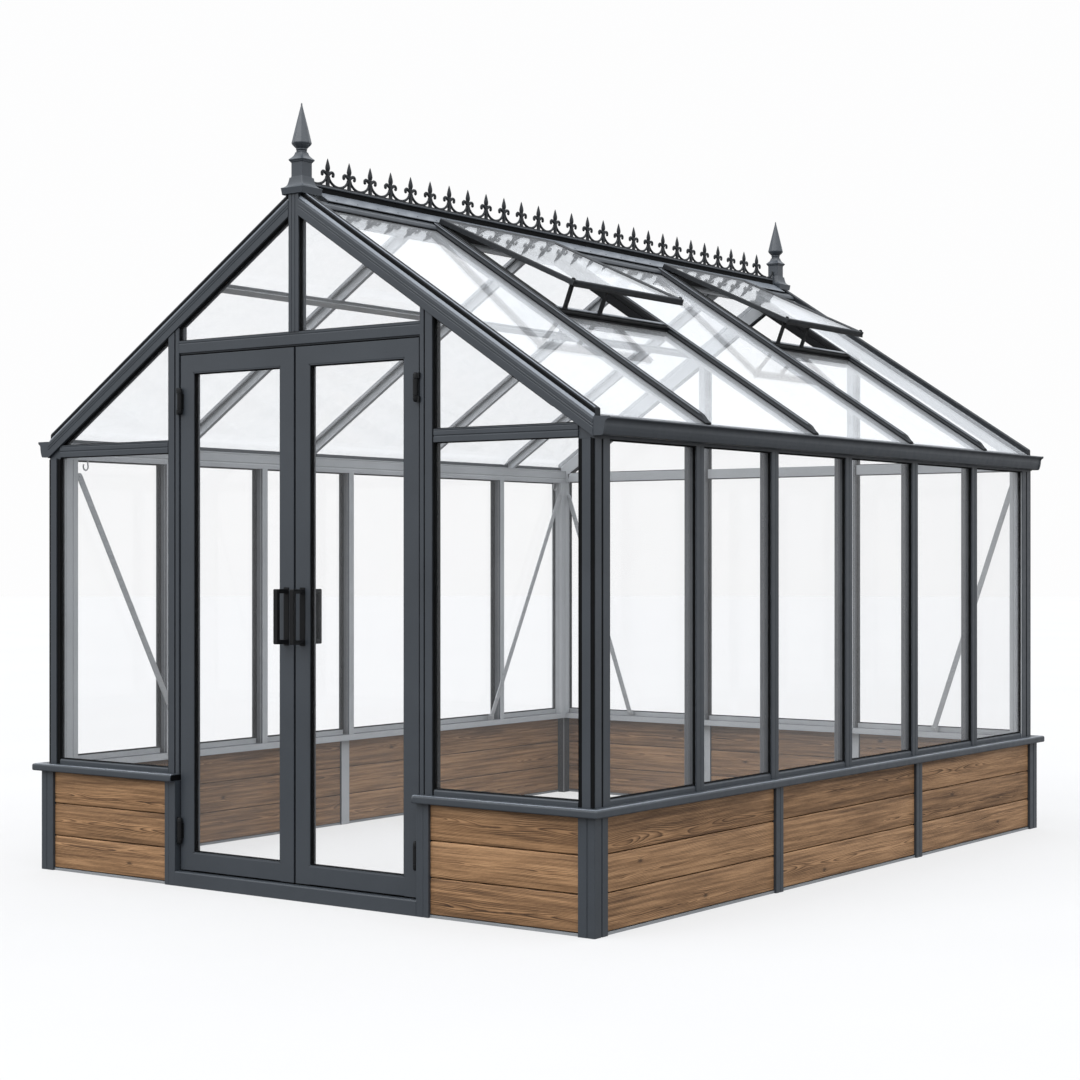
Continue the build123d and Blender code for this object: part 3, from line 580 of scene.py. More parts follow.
M = Mesh()
for sx in (1, -1):
    for sy in (1, -1):
        x0, x1, y0, y1 = HW - 70, HW, HL - 80, HL
        top = flute(x1, x0, y1, 1, [x1 - 29, x1 - 34])
        prof = [(x0, y0), (x1, y0), (x1, y0 + 34), (x1 - 3, y0 + 35), (x1 - 3, y0 + 41), (x1, y0 + 42)] + [(x1, y1)] + top[1:-1] + [(x0, y1)]
        r = [2, 3, 0.4, 0.4, 0.4, 0.4, 4] + [0.5] * (len(top) - 2) + [3]
        sweep(M, rnd(prof, r, 3), QZ(sx, sy), 0, SILL_Z0)
        # foot plate edge just off the ground
        sweep(M, rnd([(x0 - 2, y0 - 2), (x1 - 6, y0 - 2), (x1 - 6, y1 - 6), (x0 - 2, y1 - 6)], 2, 1), QZ(sx, sy), 0.0, 3.0, 1)
    for y in side_posts[sx]:
        prof = [(HW - 40, y - 28), (HW - 2, y - 28), (HW, y - 26), (HW, y - 5), (HW - 1.6, y - 3.5), (HW - 1.6, y + 3.5), (HW, y + 5), (HW, y + 26), (HW - 2, y + 28), (HW - 40, y + 28)]
        sweep(M, rnd(prof, [2, 1, 1, 0.5, 0.5, 0.5, 0.5, 1, 1, 2], 2), QZ(sx, 1), 0, SILL_Z0)
    a = REAR_X * sx
    prof = [(a - 28, HL - 40), (a + 28, HL - 40), (a + 28, HL - 2), (a + 26, HL), (a + 5, HL), (a + 3.5, HL - 1.6), (a - 3.5, HL - 1.6), (a - 5, HL), (a - 26, HL), (a - 28, HL - 2)]
    sweep(M, rnd(prof, [2, 2, 1, 1, 0.5, 0.5, 0.5, 0.5, 1, 1], 2), PZ, 0, SILL_Z0)
    prof = [(604, 1752), (661, 1752), (661, 1830), (640, 1830), (639, 1828.6), (636, 1828.6), (635, 1830), (604, 1830)]
    sweep(M, rnd(prof, [2, 2, 3, 0.5, 0.5, 0.5, 0.5, 3], 2), QZ(sx, -1), 0, SILL_Z0)
M.build("dwarf_wall_posts", [PAINT, SEAL, PAINT_LIT_INSIDE], slot="frame", replaces=["base_posts"], inside=(2, 1337, 1792))


def boards(name, spans, face, place, replaces):
    """Three boards with bevelled edges in each field; face is the outer face, place maps (depth, z), along."""
    M = Mesh()
    z0, h, n = 10.0, 393.0, 3
    bh = h / n
    for a, b in spans:
        for k in range(n):
            lo, hi = z0 + k * bh, z0 + (k + 1) * bh
            g = 1.3
            prof = [(face - 18, lo + g + 3.2), (face - 15, lo + g), (face - 4.0, lo + g), (face, lo + g + 3.0), (face, hi - g - 4.4), (face - 4.0, hi - g), (face - 15, hi - g), (face - 18, hi - g - 3.2)]
            bid = rng.random() * 40
            col = (rng.random(), rng.random(), rng.random())
            L = (b - a)
            ku = bid + rng.uniform(0.12, 0.88) * L / 1000 if rng.random() < 0.55 else bid - 40
            kv = rng.uniform(-0.035, 0.035)
            kn = (ku, kv, 0.9)
            mid = (lo + hi) / 2
            sweep(M, rnd(prof, 1.0, 2), place, a + 0.4, b - 0.4,
                  attr={"grain": lambda p, w, bid=bid, a=a, mid=mid: (bid + (w - a) / 1000, (p[1] - mid) / 1000, (p[0] - face) / 1000 + bid * 0.37),
                        "board": lambda p, w, col=col: col, "knot": lambda p, w, kn=kn: kn})
        # dark tongue behind the joints
        for k in range(1, n):
            z = z0 + k * bh
            sweep(M, [(face - 12, z - 3), (face - 7, z - 3), (face - 7, z + 3), (face - 12, z + 3)], place, a + 1, b - 1, 1)
        for x in (a, b):
            s = 1 if x == a else -1
            sweep(M, [(face - 16, 12), (face - 2.5, 12), (face - 2.5, SILL_Z0 - 1), (face - 16, SILL_Z0 - 1)], place, x, x + s * 2.2, 1)
    return M.build(name, [WOOD, SEAL], slot="boards", replaces=replaces, weighted=False)


boards("boards_right", side_spans[1], HW - 12, lambda p, w: (p[0], w, p[1]), ["right_board_panels"])
boards("boards_left", side_spans[-1], HW - 12, lambda p, w: (-p[0], w, p[1]), ["left_board_panels"])
boards("boards_rear", rear_spans, HL - 12, lambda p, w: (w, p[0], p[1]), ["rear_board_panels"])
boards("boards_front", front_spans, HL - 12, lambda p, w: (w, -p[0], p[1]), ["front_board_panels"])

# ------------------------------------------------------------------ sills ---
def sill_profile():
    """(q, z): q from the inner edge outwards, with a rounded nose and a drip groove."""
    raw = [(0, 403), (78, 403), (78, 406), (83, 406), (83, 403), (111, 403), (111, 431), (0, 431)]
    return rnd(raw, [1, 0.5, 0.5, 0.5, 0.5, 6, 8, 1], 5)


SP_ = sill_profile()


def sill_highlight_strip(M, place, w0, w1):
    """Thin lighter strip over the sill's nose: a painted highlight along its top edge."""
    sweep(M, rnd([(93, 430.4), (103, 430.4), (107.5, 426.5), (108.3, 427.4), (103.6, 431.9), (93, 431.9)], 0.3, 1), place, w0, w1, 2)


def foot_bead(M, o, place, a, b):
    sweep(M, rnd([(o + 7, 430.5), (o + 10.5, 430.5), (o + 10.5, 446), (o + 7.5, 450.5), (o + 1, 453.6), (o + 0.5, 452), (o + 6, 448)], 0.4, 1), place, a, b, 0)


def upstand(base, o):
    """Bottom glazing rail: o is the glass's outer face; (distance, z)."""
    return rnd([(o - 12, 430), (o + 8, 430), (o + 8, 444), (o + 5.5, 448), (o + 5.5, 453), (o, 453), (o, 450), (o - 4, 450), (o - 4, 453), (o - 12, 453)], 0.9, 2)


side_clear = {}
for s in (1, -1):
    e = [-(UY - CL)] + [c for y in SIDE_BARS[s] for c in (y - BAR / 2, y + BAR / 2)] + [UY - CL]
    side_clear[s] = list(zip(e[0::2], e[1::2]))
for name, s in (("right", 1), ("left", -1)):
    M = Mesh()
    pl = lambda p, w, s=s: (s * (SIN_X + p[0]), w, p[1])
    sweep(M, SP_, pl, lambda p: -(SIN_Y + p[0]), lambda p: SIN_Y + p[0])
    sill_highlight_strip(M, pl, lambda p: -(SIN_Y + p[0] - 0.5), lambda p: SIN_Y + p[0] - 0.5)
    for a, b in side_clear[s]:
        sweep(M, upstand(0, GX1), lambda p, w, s=s: (s * p[0], w, p[1]), a, b)
        foot_bead(M, GX1, lambda p, w, s=s: (s * p[0], w, p[1]), a + 0.5, b - 0.5)
    M.build("sill_%s_nosing" % name, [PAINT, SEAL, PAINT_EDGE, PAINT_LIT_INSIDE], slot="frame", replaces=["sill_%s" % name], inside=(3, 1334, 1789))
M = Mesh()
sweep(M, SP_, lambda p, w: (w, SIN_Y + p[0], p[1]), lambda p: -(SIN_X + p[0]), lambda p: SIN_X + p[0])
for a, b in ((-SIN_X, -REAR_X - 27), (-REAR_X + 27, REAR_X - 27), (REAR_X + 27, SIN_X)):
    sweep(M, upstand(0, GY1), lambda p, w: (w, p[0], p[1]), a, b)
    foot_bead(M, GY1, lambda p, w: (w, p[0], p[1]), a + 0.5, b - 0.5)
sill_highlight_strip(M, lambda p, w: (w, SIN_Y + p[0], p[1]), lambda p: -(SIN_X + p[0] - 0.5), lambda p: SIN_X + p[0] - 0.5)
M.build("sill_rear_nosing", [PAINT, SEAL, PAINT_EDGE, PAINT_LIT_INSIDE], slot="frame", replaces=["sill_rear"], inside=(3, 1334, 1789))
M = Mesh()
for s in (1, -1):
    pl = lambda p, w, s=s: (s * w, -(SIN_Y + p[0]), p[1])
    sweep(M, SP_, pl, DOOR_HALF + 7, lambda p: SIN_X + p[0])
    # open end of the hollow section beside the door
    inner = inset([(2, 403), (111, 403), (111, 431), (2, 431)], 3.0)
    inner = rnd(inner, [1, 6, 9, 1], 4)
    outer = rnd([(0, 403), (111, 403), (111, 431), (0, 431)], [1, 8, 12, 1], 4)
    n = len(outer)
    vs = [pl(p, DOOR_HALF) for p in outer] + [pl(p, DOOR_HALF) for p in inner] + [pl(p, DOOR_HALF + 7.5) for p in inner] + [pl(p, DOOR_HALF + 7.5) for p in outer]
    fs = []
    for k in range(4):
        x, y = k * n, ((k + 1) % 4) * n
        fs += [(x + i, x + (i + 1) % n, y + (i + 1) % n, y + i) for i in range(n)]
    M.add(vs, fs, 0)
    sweep(M, rnd([(7, 405.5), (106, 405.5), (106, 428.5), (7, 428.5)], 5, 2), pl, DOOR_HALF + 5, DOOR_HALF + 8, 1)
    sweep(M, upstand(0, GY1), lambda p, w, s=s: (s * w, -p[0], p[1]), DOOR_HALF + POST_W, SIN_X)
    foot_bead(M, GY1, lambda p, w, s=s: (s * w, -p[0], p[1]), DOOR_HALF + POST_W + 0.5, SIN_X - 0.5)
    sill_highlight_strip(M, pl, DOOR_HALF + 1, lambda p: SIN_X + p[0] - 0.5)
M.build("sill_front_nosing", [PAINT, SEAL, PAINT_EDGE, PAINT_LIT_INSIDE], slot="frame", replaces=["sill_front"], inside=(3, 1334, 1789))

# --------------------------------------------------- posts of the glasshouse ---
a_, b_, c_, d_ = SIN_X, UX, UY - CL, UY
M = Mesh()
for sx in (1, -1):
    for sy in (1, -1):
        prof = [(a_, c_), (a_ + 18, c_), (a_ + 19, c_ + 2), (a_ + 23, c_ + 2), (a_ + 24, c_), (b_, c_), (b_, c_ + 42), (b_ - 9, c_ + 42), (b_ - 9, c_ + 52), (b_, c_ + 52),
                (b_, d_ - 12), (b_ - 12, d_ - 12), (b_ - 12, d_), (a_ + 18, d_), (a_ + 18, d_ - 10), (a_, d_ - 10),
                (a_, d_ - 30), (a_ + 2, d_ - 31), (a_ + 2, d_ - 37), (a_, d_ - 38), (a_, c_ + 34), (a_ + 2, c_ + 33), (a_ + 2, c_ + 27), (a_, c_ + 26)]
        r = [2.5, 0.5, 0.5, 0.5, 0.5, 2.5, 2, 1, 1, 2, 2.5, 1.5, 2.5, 2.2, 1, 1] + [0.6] * 8
        sweep(M, rnd(prof, r, 2), QZ(sx, sy), SILL_Z1, EAVE_Z0)
        # head of the post up to the barge
        px = [(a_, EAVE_Z0 - 1), (b_, EAVE_Z0 - 1), (b_, roof(b_, -BARGE)), (a_, roof(a_, -BARGE))]
        sweep(M, rnd(px, 1, 1), QY(sx), sy * ROOF_IN, sy * (UY - 8))
        block(M, sx * (a_ + 18), sx * (b_ - 12), sy * (UY - 9), sy * UY, EAVE_Z0 - 1, EAVE_Z0 + 3, 0.5)
        # black liners in the grooves: painted shade for the recesses
        for x0, x1, y0, y1 in ((b_ - 9, b_ - 2.2, c_ + 41.5, c_ + 52.5), (b_ - 12.5, b_ - 2.4, d_ - 12.5, d_ - 2.4), (a_ + 0.5, a_ + 18.5, d_ - 10.5, d_ - 5.5)):
            block(M, sx * x0, sx * x1, sy * y0, sy * y1, SILL_Z1 + 0.5, EAVE_Z0 - 0.5, 0.2, mat=1, seg=1)
M.build("corner_post_sections", [PAINT, SEAL, PAINT_LIT_INSIDE], slot="frame", replaces=["corner_posts"], inside=(2, 1336, 1790))

M = Mesh()
for s in (1, -1):
    x0, x1 = DOOR_HALF, DOOR_HALF + POST_W
    yo, yi = -UY, -1765.0
    # plan sections: outer strip beside the leaf, groove, main face
    for p, mat in ((rnd([(x0, yi), (x0, yo + 1), (x0 + 18, yo + 1), (x0 + 18, yi)], [1, 2, 1, 1], 2), 0),
                   (rnd([(x0 + 17, yi), (x0 + 17, yo + 5), (x0 + 25, yo + 5), (x0 + 25, yi)], 0.5, 1), 1),
                   (rnd([(x0 + 24, yi), (x0 + 24, yo), (x1 - 5, yo), (x1 - 5, yi)], [1, 2.2, 2.5, 2.5], 2), 0),
                   (rnd([(x1 - 6, yi), (x1 - 6, yo + 4), (x1, yo + 4), (x1, yi)], [0.5, 0.5, 1, 2.5], 1), 1)):
        sweep(M, p, QZ(s, 1), SILL_Z1, lambda q: roof(q[0], -BARGE) + 0.5, mat)
M.build("door_post_sections", [PAINT, SEAL, PAINT_LIT_INSIDE], slot="frame", replaces=["door_posts"], inside=(2, 1330, 1770))

M = Mesh()
pf = [(-1765, 2060), (-1801, 2060), (-1801, 2064), (-1806.5, 2064), (-1808, 2066), (-1808, 2099), (-1806.6, 2100), (-1806.6, 2103), (-1808, 2104), (-1808, 2112), (-1797, 2112), (-1797, 2109), (-1789, 2109), (-1789, 2112), (-1765, 2112)]
sweep(M, rnd(pf, 0.9, 2), PX, -DOOR_HALF, DOOR_HALF)
block(M, -DOOR_HALF, DOOR_HALF, -1800, -1770, 2056.5, 2060.5, 0.6, axis="x", mat=1)
M.build("door_header_section", [PAINT, SEAL, PAINT_LIT_INSIDE], slot="frame", replaces=["door_header"], inside=(2, 1330, 1770))

M = Mesh()
yo = -(UY + 2)
pk = [(25, -1768), (25, yo + 1), (24, yo), (10, yo), (9, yo + 2.5), (7, yo + 2.5), (6, yo), (-7, yo), (-8, yo + 2.5), (-10, yo + 2.5), (-11, yo), (-24, yo), (-25, yo + 1), (-25, -1768)]
sweep(M, rnd(pk, 0.8, 2), PZ, 2112.0, lambda q: 2640.0)
for s in (1, -1):
    block(M, s * 24, s * 27.5, -1806, -1796, 2114, 2560, 0.8, mat=1)
M.build("king_post_section", [PAINT, SEAL, PAINT_LIT_INSIDE], slot="frame", replaces=["gable_king_post"], inside=(2, 1330, 1772))


def eave_rail_poly(x0, x1):
    xc = (RIDGE_Z - BARGE / CP - 1727.0) / TP
    pts = [(x0, 1680.0), (x1, 1680.0)]
    pts += [(x1, roof(x1, -BARGE)), (xc, 1727.0)] if x1 > xc else [(x1, 1727.0)]
    return pts + [(x0, 1727.0)]


M = Mesh()
for s in (1, -1):
    for x0, x1, yo, yi, sy in ((DOOR_HALF + POST_W, SIN_X, UY - 2, ROOF_IN, -1), (REAR_X + 27, SIN_X, UY - 2, ROOF_IN, 1)):
        xc = (RIDGE_Z - BARGE / CP - 1727.0) / TP
        cut = lambda p: x1 if p[1] <= roof(x1, -BARGE) else (RIDGE_Z - BARGE / CP - p[1]) / TP
        prof = [(yi, 1680), (yo, 1680), (yo, 1699), (yo - 2.2, 1700.5), (yo - 2.2, 1703.5), (yo, 1705), (yo, 1719), (yo - 1.5, 1720), (yo - 1.5, 1722), (yo, 1723), (yo, 1727), (yi, 1727)]
        sweep(M, rnd(prof, 0.8, 2), lambda p, w, s=s, sy=sy: (s * w, sy * p[0], p[1]), x0, cut)
prof = [(ROOF_IN, 1680), (UY - 2, 1680), (UY - 2, 1699), (UY - 4.2, 1700.5), (UY - 4.2, 1703.5), (UY - 2, 1705), (UY - 2, 1727), (ROOF_IN, 1727)]
sweep(M, rnd(prof, 0.8, 2), PX, -REAR_X + 27, REAR_X - 27)
M.build("gable_rail_sections", [PAINT, PAINT_LIT_INSIDE], slot="frame", replaces=["gable_eave_rails"], inside=(1, 1330, 1780))


def both(h):
    return h + [(-p[0], p[1]) for p in h][::-1]


def wall_bar(o, g1):
    """Plan sections of a glazing bar: (along the wall, distance out): cap, seal, inner box."""
    cap = rnd(both([(2.2, o - 1.3), (3.2, o), (24.6, o), (27, o - 2.4), (27, o - 6.5), (23, o - 7), (23, g1 + 1.5)]), 0.8, 2)
    rub = rnd(both([(25.2, o - 7), (26.4, g1 + 3.2), (25.6, g1)]), 0.4, 1)
    box_ = rnd(both([(17, g1 + 2), (17, o - 44), (15.6, o - 44.6), (15.6, o - 48), (17, o - 48.6), (17, o - 58.2), (16.2, o - 59), (5, o - 59), (4, o - 57.4)]), 0.7, 2)
    # the inner box takes material 3, a lighter copy of the frame paint: painted light for the box behind the glass
    return ((cap, 0), (rub, 1), (box_, 3))


for name, s in (("right", 1), ("left", -1)):
    M = Mesh()
    for y in SIDE_BARS[s]:
        for prof, mat in wall_bar(UX, GX1):
            sweep(M, prof, lambda p, w, s=s, y=y: (s * p[1], y + p[0], w), SILL_Z1, EAVE_Z0, mat)
    M.build("%s_bar_sections" % name, [PAINT, SEAL, PAINT_LIT_INSIDE, PAINT_HALF_LIT], slot="frame", replaces=["%s_wall_bars" % name], inside=(2, 1330, 1785, 3))
M = Mesh()
for s in (1, -1):
    for prof, mat in wall_bar(UY, GY1):
        sweep(M, prof, lambda p, w, s=s: (s * REAR_X + p[0], p[1], w), SILL_Z1, lambda p, s=s: roof(s * REAR_X + p[0], -BARGE) + 0.5, mat)
M.build("rear_bar_sections", [PAINT, SEAL, PAINT_LIT_INSIDE, PAINT_HALF_LIT], slot="frame", replaces=["rear_wall_bars"], inside=(2, 1330, 1785, 3))

# ------------------------------------------------------- eaves and gutters ---
M = Mesh()
for s in (1, -1):
    prof = [(1322, 1673), (1355, 1673), (1355, roof(1355, -10)), (1376, roof(1376, -10)), (1376, roof(1376, -4)), (1338, roof(1338, -4)), (1338, 1738), (1322, 1738)]
    sweep(M, rnd(prof, 0.9, 2), QY(s), -ROOF_IN, ROOF_IN)
    # the beam's inner part takes the much lighter coat: painted light for the lit interior
    prof = [(1323, 1673), (1323, 1740), (1305, 1740), (1305, 1735.5), (1307.2, 1734.5), (1307.2, 1731), (1305, 1730), (1305, 1699), (1307, 1697.5), (1307, 1693), (1305, 1691.5), (1305, 1673), (1308, 1673), (1308, 1679), (1318, 1679), (1318, 1673)]
    sweep(M, rnd(prof, 0.9, 2), QY(s), -ROOF_IN, ROOF_IN, 2)
    # seal under the outer edge, above the glass
    block(M, s * 1340.5, s * 1352, -(UY - CL), UY - CL, 1668.5, 1673.5, 0.8, axis="y", mat=1)
M.build("eave_beam_sections", [PAINT, SEAL, PAINT_LIT_INSIDE], slot="frame", replaces=["eave_beams"])

G_OUT = [(1355, 1683), (1388, 1683), (1392, 1685), (1397, 1699), (1400.5, 1713), (1401, 1723), (1403.5, 1731), (1408, 1735), (1415, 1739), (1415, 1743), (1411, 1745)]
G_IN = [(1407.5, 1744.5), (1407.5, 1740.5), (1401, 1737), (1397, 1730), (1395.5, 1722), (1394, 1712), (1390.5, 1698), (1386, 1687), (1358.5, 1687), (1358.5, 1731), (1355, 1731)]
M = Mesh()
for s in (1, -1):
    sweep(M, rnd(G_OUT + G_IN, [0] + [3] * 9 + [1.2] + [1] + [2] * 8 + [0.8] * 2, 2), QY(s), -(UY + 1), UY + 1)
    capf = [(1355, 1681.5), (1389, 1681.5), (1394, 1684), (1399, 1698), (1402, 1713), (1402.5, 1723), (1405, 1730), (1409, 1733.5), (1415, 1737), (1415, 1745), (1355, 1745)]
    for sy in (-1, 1):
        sweep(M, rnd(capf, [1, 3, 3, 2, 3, 3, 3, 2, 1, 1, 1], 2), QY(s), sy * (UY - 12), sy * (UY + 2))
    # straps across the trough under the roof bars
    for y in ROOF_Y:
        block(M, s * 1358, s * 1409, y - 9, y + 9, 1738.5, 1741, 0.6, axis="y")
M.build("gutter_sections", [PAINT], slot="frame", replaces=["gutters"], bevel=0.0)

# ------------------------------------------------------------------- roof ---
def barge_profile(sy):
    """(y, v): plate in front, raised cap behind it."""
    o = UY + 4
    p = [(o - 1.2, -62), (o, -60.8), (o, -37), (o - 1.8, -36), (o - 1.8, -34.6), (o, -33.6), (o, -28), (o - 1.8, -27), (o - 1.8, -25.6), (o, -24.6), (o, -13.5), (o - 1.2, -12),
         (1800, -1.0), (1768, -1.0), (1768, -62)]
    return [(sy * q[0], q[1]) for q in p]


def barge_cap(sy):
    p = [(1799.5, -2), (1798, 2), (1798, 17), (1796, 20), (1786, 20), (1785, 18.4), (1781, 18.4), (1780, 20), (1770, 20), (1768, 18), (1768, -2)]
    return [(sy * q[0], q[1]) for q in p]


for name, sy, xin in (("front", -1, 25.0), ("rear", 1, 20.0)):
    M = Mesh()
    for s in (1, -1):
        sweep(M, rnd(barge_profile(sy), 0.6, 1), slope_s(s), plumb(xin), plumb(UX))
        # raised cap in the darker copy of the frame paint: painted shade
        sweep(M, rnd(barge_cap(sy), 0.6, 1), slope_s(s), plumb(xin), plumb(UX), 2)
        # lighter strips on the bevel below the cap and along the cap's top edge: painted highlights
        sweep(M, rnd([(sy * 1807.2, -7.9), (sy * 1807.9, -6.4), (sy * 1801, 1.8), (sy * 1799, 1.8), (sy * 1799, 0)], 0.3, 1), slope_s(s), plumb(xin + 1), plumb(UX - 1), 3)
        sweep(M, rnd([(sy * 1797.2, 19.3), (sy * 1794.4, 20.9), (sy * 1795.4, 21.4), (sy * 1798.2, 18.6)], 0.2, 1), slope_s(s), plumb(xin + 3), plumb(UX - 2), 3)
        # black strip at the foot of the cap, on the ledge: painted shade for the recess
        sweep(M, rnd([(sy * 1798, 1), (sy * 1800.5, 1.5), (sy * 1799.5, 12), (sy * 1798, 13)], 0.5, 1), slope_s(s), plumb(xin + 2), plumb(UX - 3), 1)
        # seal against the gable glass under the barge
        sweep(M, rnd([(sy * (GY1 + 0.5), -62), (sy * (GY1 + 11), -62), (sy * (GY1 + 8), -66.5), (sy * (GY1 + 0.5), -67)], 0.5, 1), slope_s(s), plumb(xin + 2), plumb(1180), 1)
    M.build("%s_barge_sections" % name, [PAINT, SEAL, PAINT_SHADED_CAP, PAINT_EDGE, PAINT_LIT_INSIDE], slot="frame", replaces=["%s_barges" % name], inside=(4, 1400, 1775))


def roof_bar(h=CAPH):
    p = [(20, 0), (20, 6), (16.5, 8.5), (13, 9), (11.5, 14), (11.5, h - 1.5), (10, h), (3.2, h), (2.2, h - 2.2)]
    return rnd(p + [(-q[0], q[1]) for q in p][::-1], 0.7, 2)


for name, s in (("right", 1), ("left", -1)):
    M = Mesh()
    for y in ROOF_Y:
        # cap in the darker copy of the frame paint: painted shade
        sweep(M, [(y + q[0], q[1]) for q in roof_bar()], slope_s(s), plumb(20), lambda p: (1352 - p[1] * SP) / CP - 1.9 * max(0.0, p[1] - 6.0), 3)
        # lighter strips along the cap's shoulders: painted highlights
        for e_ in (1, -1):
            sweep(M, rnd([(y + e_ * 9.2, 19.5), (y + e_ * 11.0, 17.6), (y + e_ * 12.0, 18.2), (y + e_ * 10.2, 20.6)], 0.2, 1), slope_s(s), plumb(24), plumb(1322), 4)
        # inner web and its foot in the much lighter coat: painted light for the lit interior
        inner = [(7, 0), (7, -26), (10, -27.5), (10, -36), (4, -36), (3, -34), (-3, -34), (-4, -36), (-10, -36), (-10, -27.5), (-7, -26), (-7, 0)]
        sweep(M, rnd([(y + q[0], q[1]) for q in inner], 0.7, 1), slope_s(s), plumb(20), plumb(1305), 2)
        sweep(M, [(1304, 1740.5), (1338, 1740.5), (1338, roof(1338, -0.5)), (1304, roof(1304, -0.5))], QY(s), y - 7, y + 7, 2)
        sweep(M, [(y + q[0], q[1]) for q in ((-7, -4), (7, -4), (7, 0), (-7, 0))], slope_s(s), plumb(1337), plumb(1351))
        for e_ in (1, -1):
            sweep(M, rnd([(y + e_ * 19, 0), (y + e_ * 23, 0), (y + e_ * 21.5, 4.5), (y + e_ * 19, 5)], 0.5, 1), slope_s(s), plumb(22), plumb(1350), 1)
        # end plug of the cap
        sweep(M, rnd([(y - 18, 0.5), (y + 18, 0.5), (y + 18, 4.5), (y + 10, 5.5), (y - 10, 5.5), (y - 18, 4.5)], 0.6, 1), slope_s(s), plumb(1351.6), plumb(1353.8), 1)
    M.build("%s_roof_bar_sections" % name, [PAINT, SEAL, PAINT_LIT_INSIDE, PAINT_SHADED_CAP, PAINT_HIGHLIGHT], slot="frame", replaces=["roof_bars_%s" % name])

M = Mesh()
# ridge beam in the pale coat: painted light
prof = [(-20, 2545), (20, 2545), (20, 2556), (16.5, 2558), (16.5, 2566), (20, 2568), (20, 2640), (-20, 2640), (-20, 2568), (-16.5, 2566), (-16.5, 2558), (-20, 2556)]
sweep(M, rnd(prof, 1.2, 2), PY, -ROOF_IN, UY + 4)
M.build("ridge_beam_section", [PAINT_LIT_BEAM], slot="frame", replaces=["ridge_beam"])

M = Mesh()
ye = FIN_Y - 57
for s in (1, -1):
    # black strip under the rail's overhang: painted shade; flashing in the lighter coat: a painted highlight of the
    # light from above; a black folded lower edge
    sweep(M, [(4, 19.5), (15, 19.5), (15, 22.2), (4, 22.2)], slope_y(s), -ye, ye, 1)
    prof = [(14, 21), (15, 23), (79, 23), (80.5, 24.2), (83, 24.2), (86, 22.6), (86, 20), (14, 20)]
    sweep(M, rnd(prof, [0.5, 1, 1, 0.6, 0.6, 1, 0.6, 0.5], 2), slope_y(s), -ye, ye, 2)
    sweep(M, rnd([(86, 20.2), (86, 22), (88.5, 21), (88.5, 12), (85, 12), (84, 20.2)], 0.4, 1), slope_y(s), -ye, ye, 1)
    y = -ye + 60
    while y < ye - 30:
        q = sv(69, 23)
        disc(M, (s * q[0], y, q[1]), (s * SP, 0, CP), 3.4, 1.2, 10, 0, dome=0.7)
        y += 119.5
prof = [(-10, 2638), (10, 2638), (10, 2661), (21, 2664.5), (22, 2666), (22, 2670), (20, 2672), (-20, 2672), (-22, 2670), (-22, 2666), (-21, 2664.5), (-10, 2661)]
sweep(M, rnd(prof, [0, 0, 1, 1, 1, 1, 1.5, 1.5, 1, 1, 1, 1], 2), PY, -ye, ye)
# black block under the rail's overhang: painted shade in the gap above the flashing
sweep(M, rnd([(-17, 2637), (17, 2637), (17, 2663.6), (-17, 2663.6)], 1, 1), PY, -ye + 1, ye - 1, 1)
M.build("ridge_cap_sections", [PAINT, SEAL, PAINT_HIGHLIGHT], slot="frame", replaces=["ridge_cap"])

# top glazing bars of the bays without a vent
M = Mesh()
ybars = [-ROOF_IN] + [c for y in ROOF_Y for c in (y - 20, y + 20)] + [ROOF_IN]
for s in (1, -1):
    for i, (a, b) in enumerate(zip(ybars[0::2], ybars[1::2])):
        if s > 0 and i in (1, 3):
            continue
        prof = [(86, 0), (86, 13), (88, 15), (97, 15), (98, 13.4), (101, 13.4), (102, 15), (112, 14), (116, 11), (122, 7), (124, 0)]
        sweep(M, rnd(prof, [0, 1, 1, 0.6, 0.6, 0.6, 0.6, 1.5, 2, 2, 0.5], 2), slope_y(s), a, b)
        sweep(M, rnd([(123, 0), (128, 0), (126, 4.5), (123, 5)], 0.5, 1), slope_y(s), a, b, 1)
M.build("ridge_glazing_bars", [PAINT, SEAL], slot="frame")

# --------------------------------------------------------------- cresting ---
M = Mesh()
CB = 2672.0
sweep(M, rnd([(-4.5, CB), (4.5, CB), (4.5, CB + 7.4), (3.2, CB + 9), (-3.2, CB + 9), (-4.5, CB + 7.4)], 0.6, 2), PY, -(FIN_Y - 38), FIN_Y - 38)
PC, NC = 123.0, 27
C0 = -(FIN_Y - 145.0)
LEAVES = [C0 + PC * i for i in range(NC)]


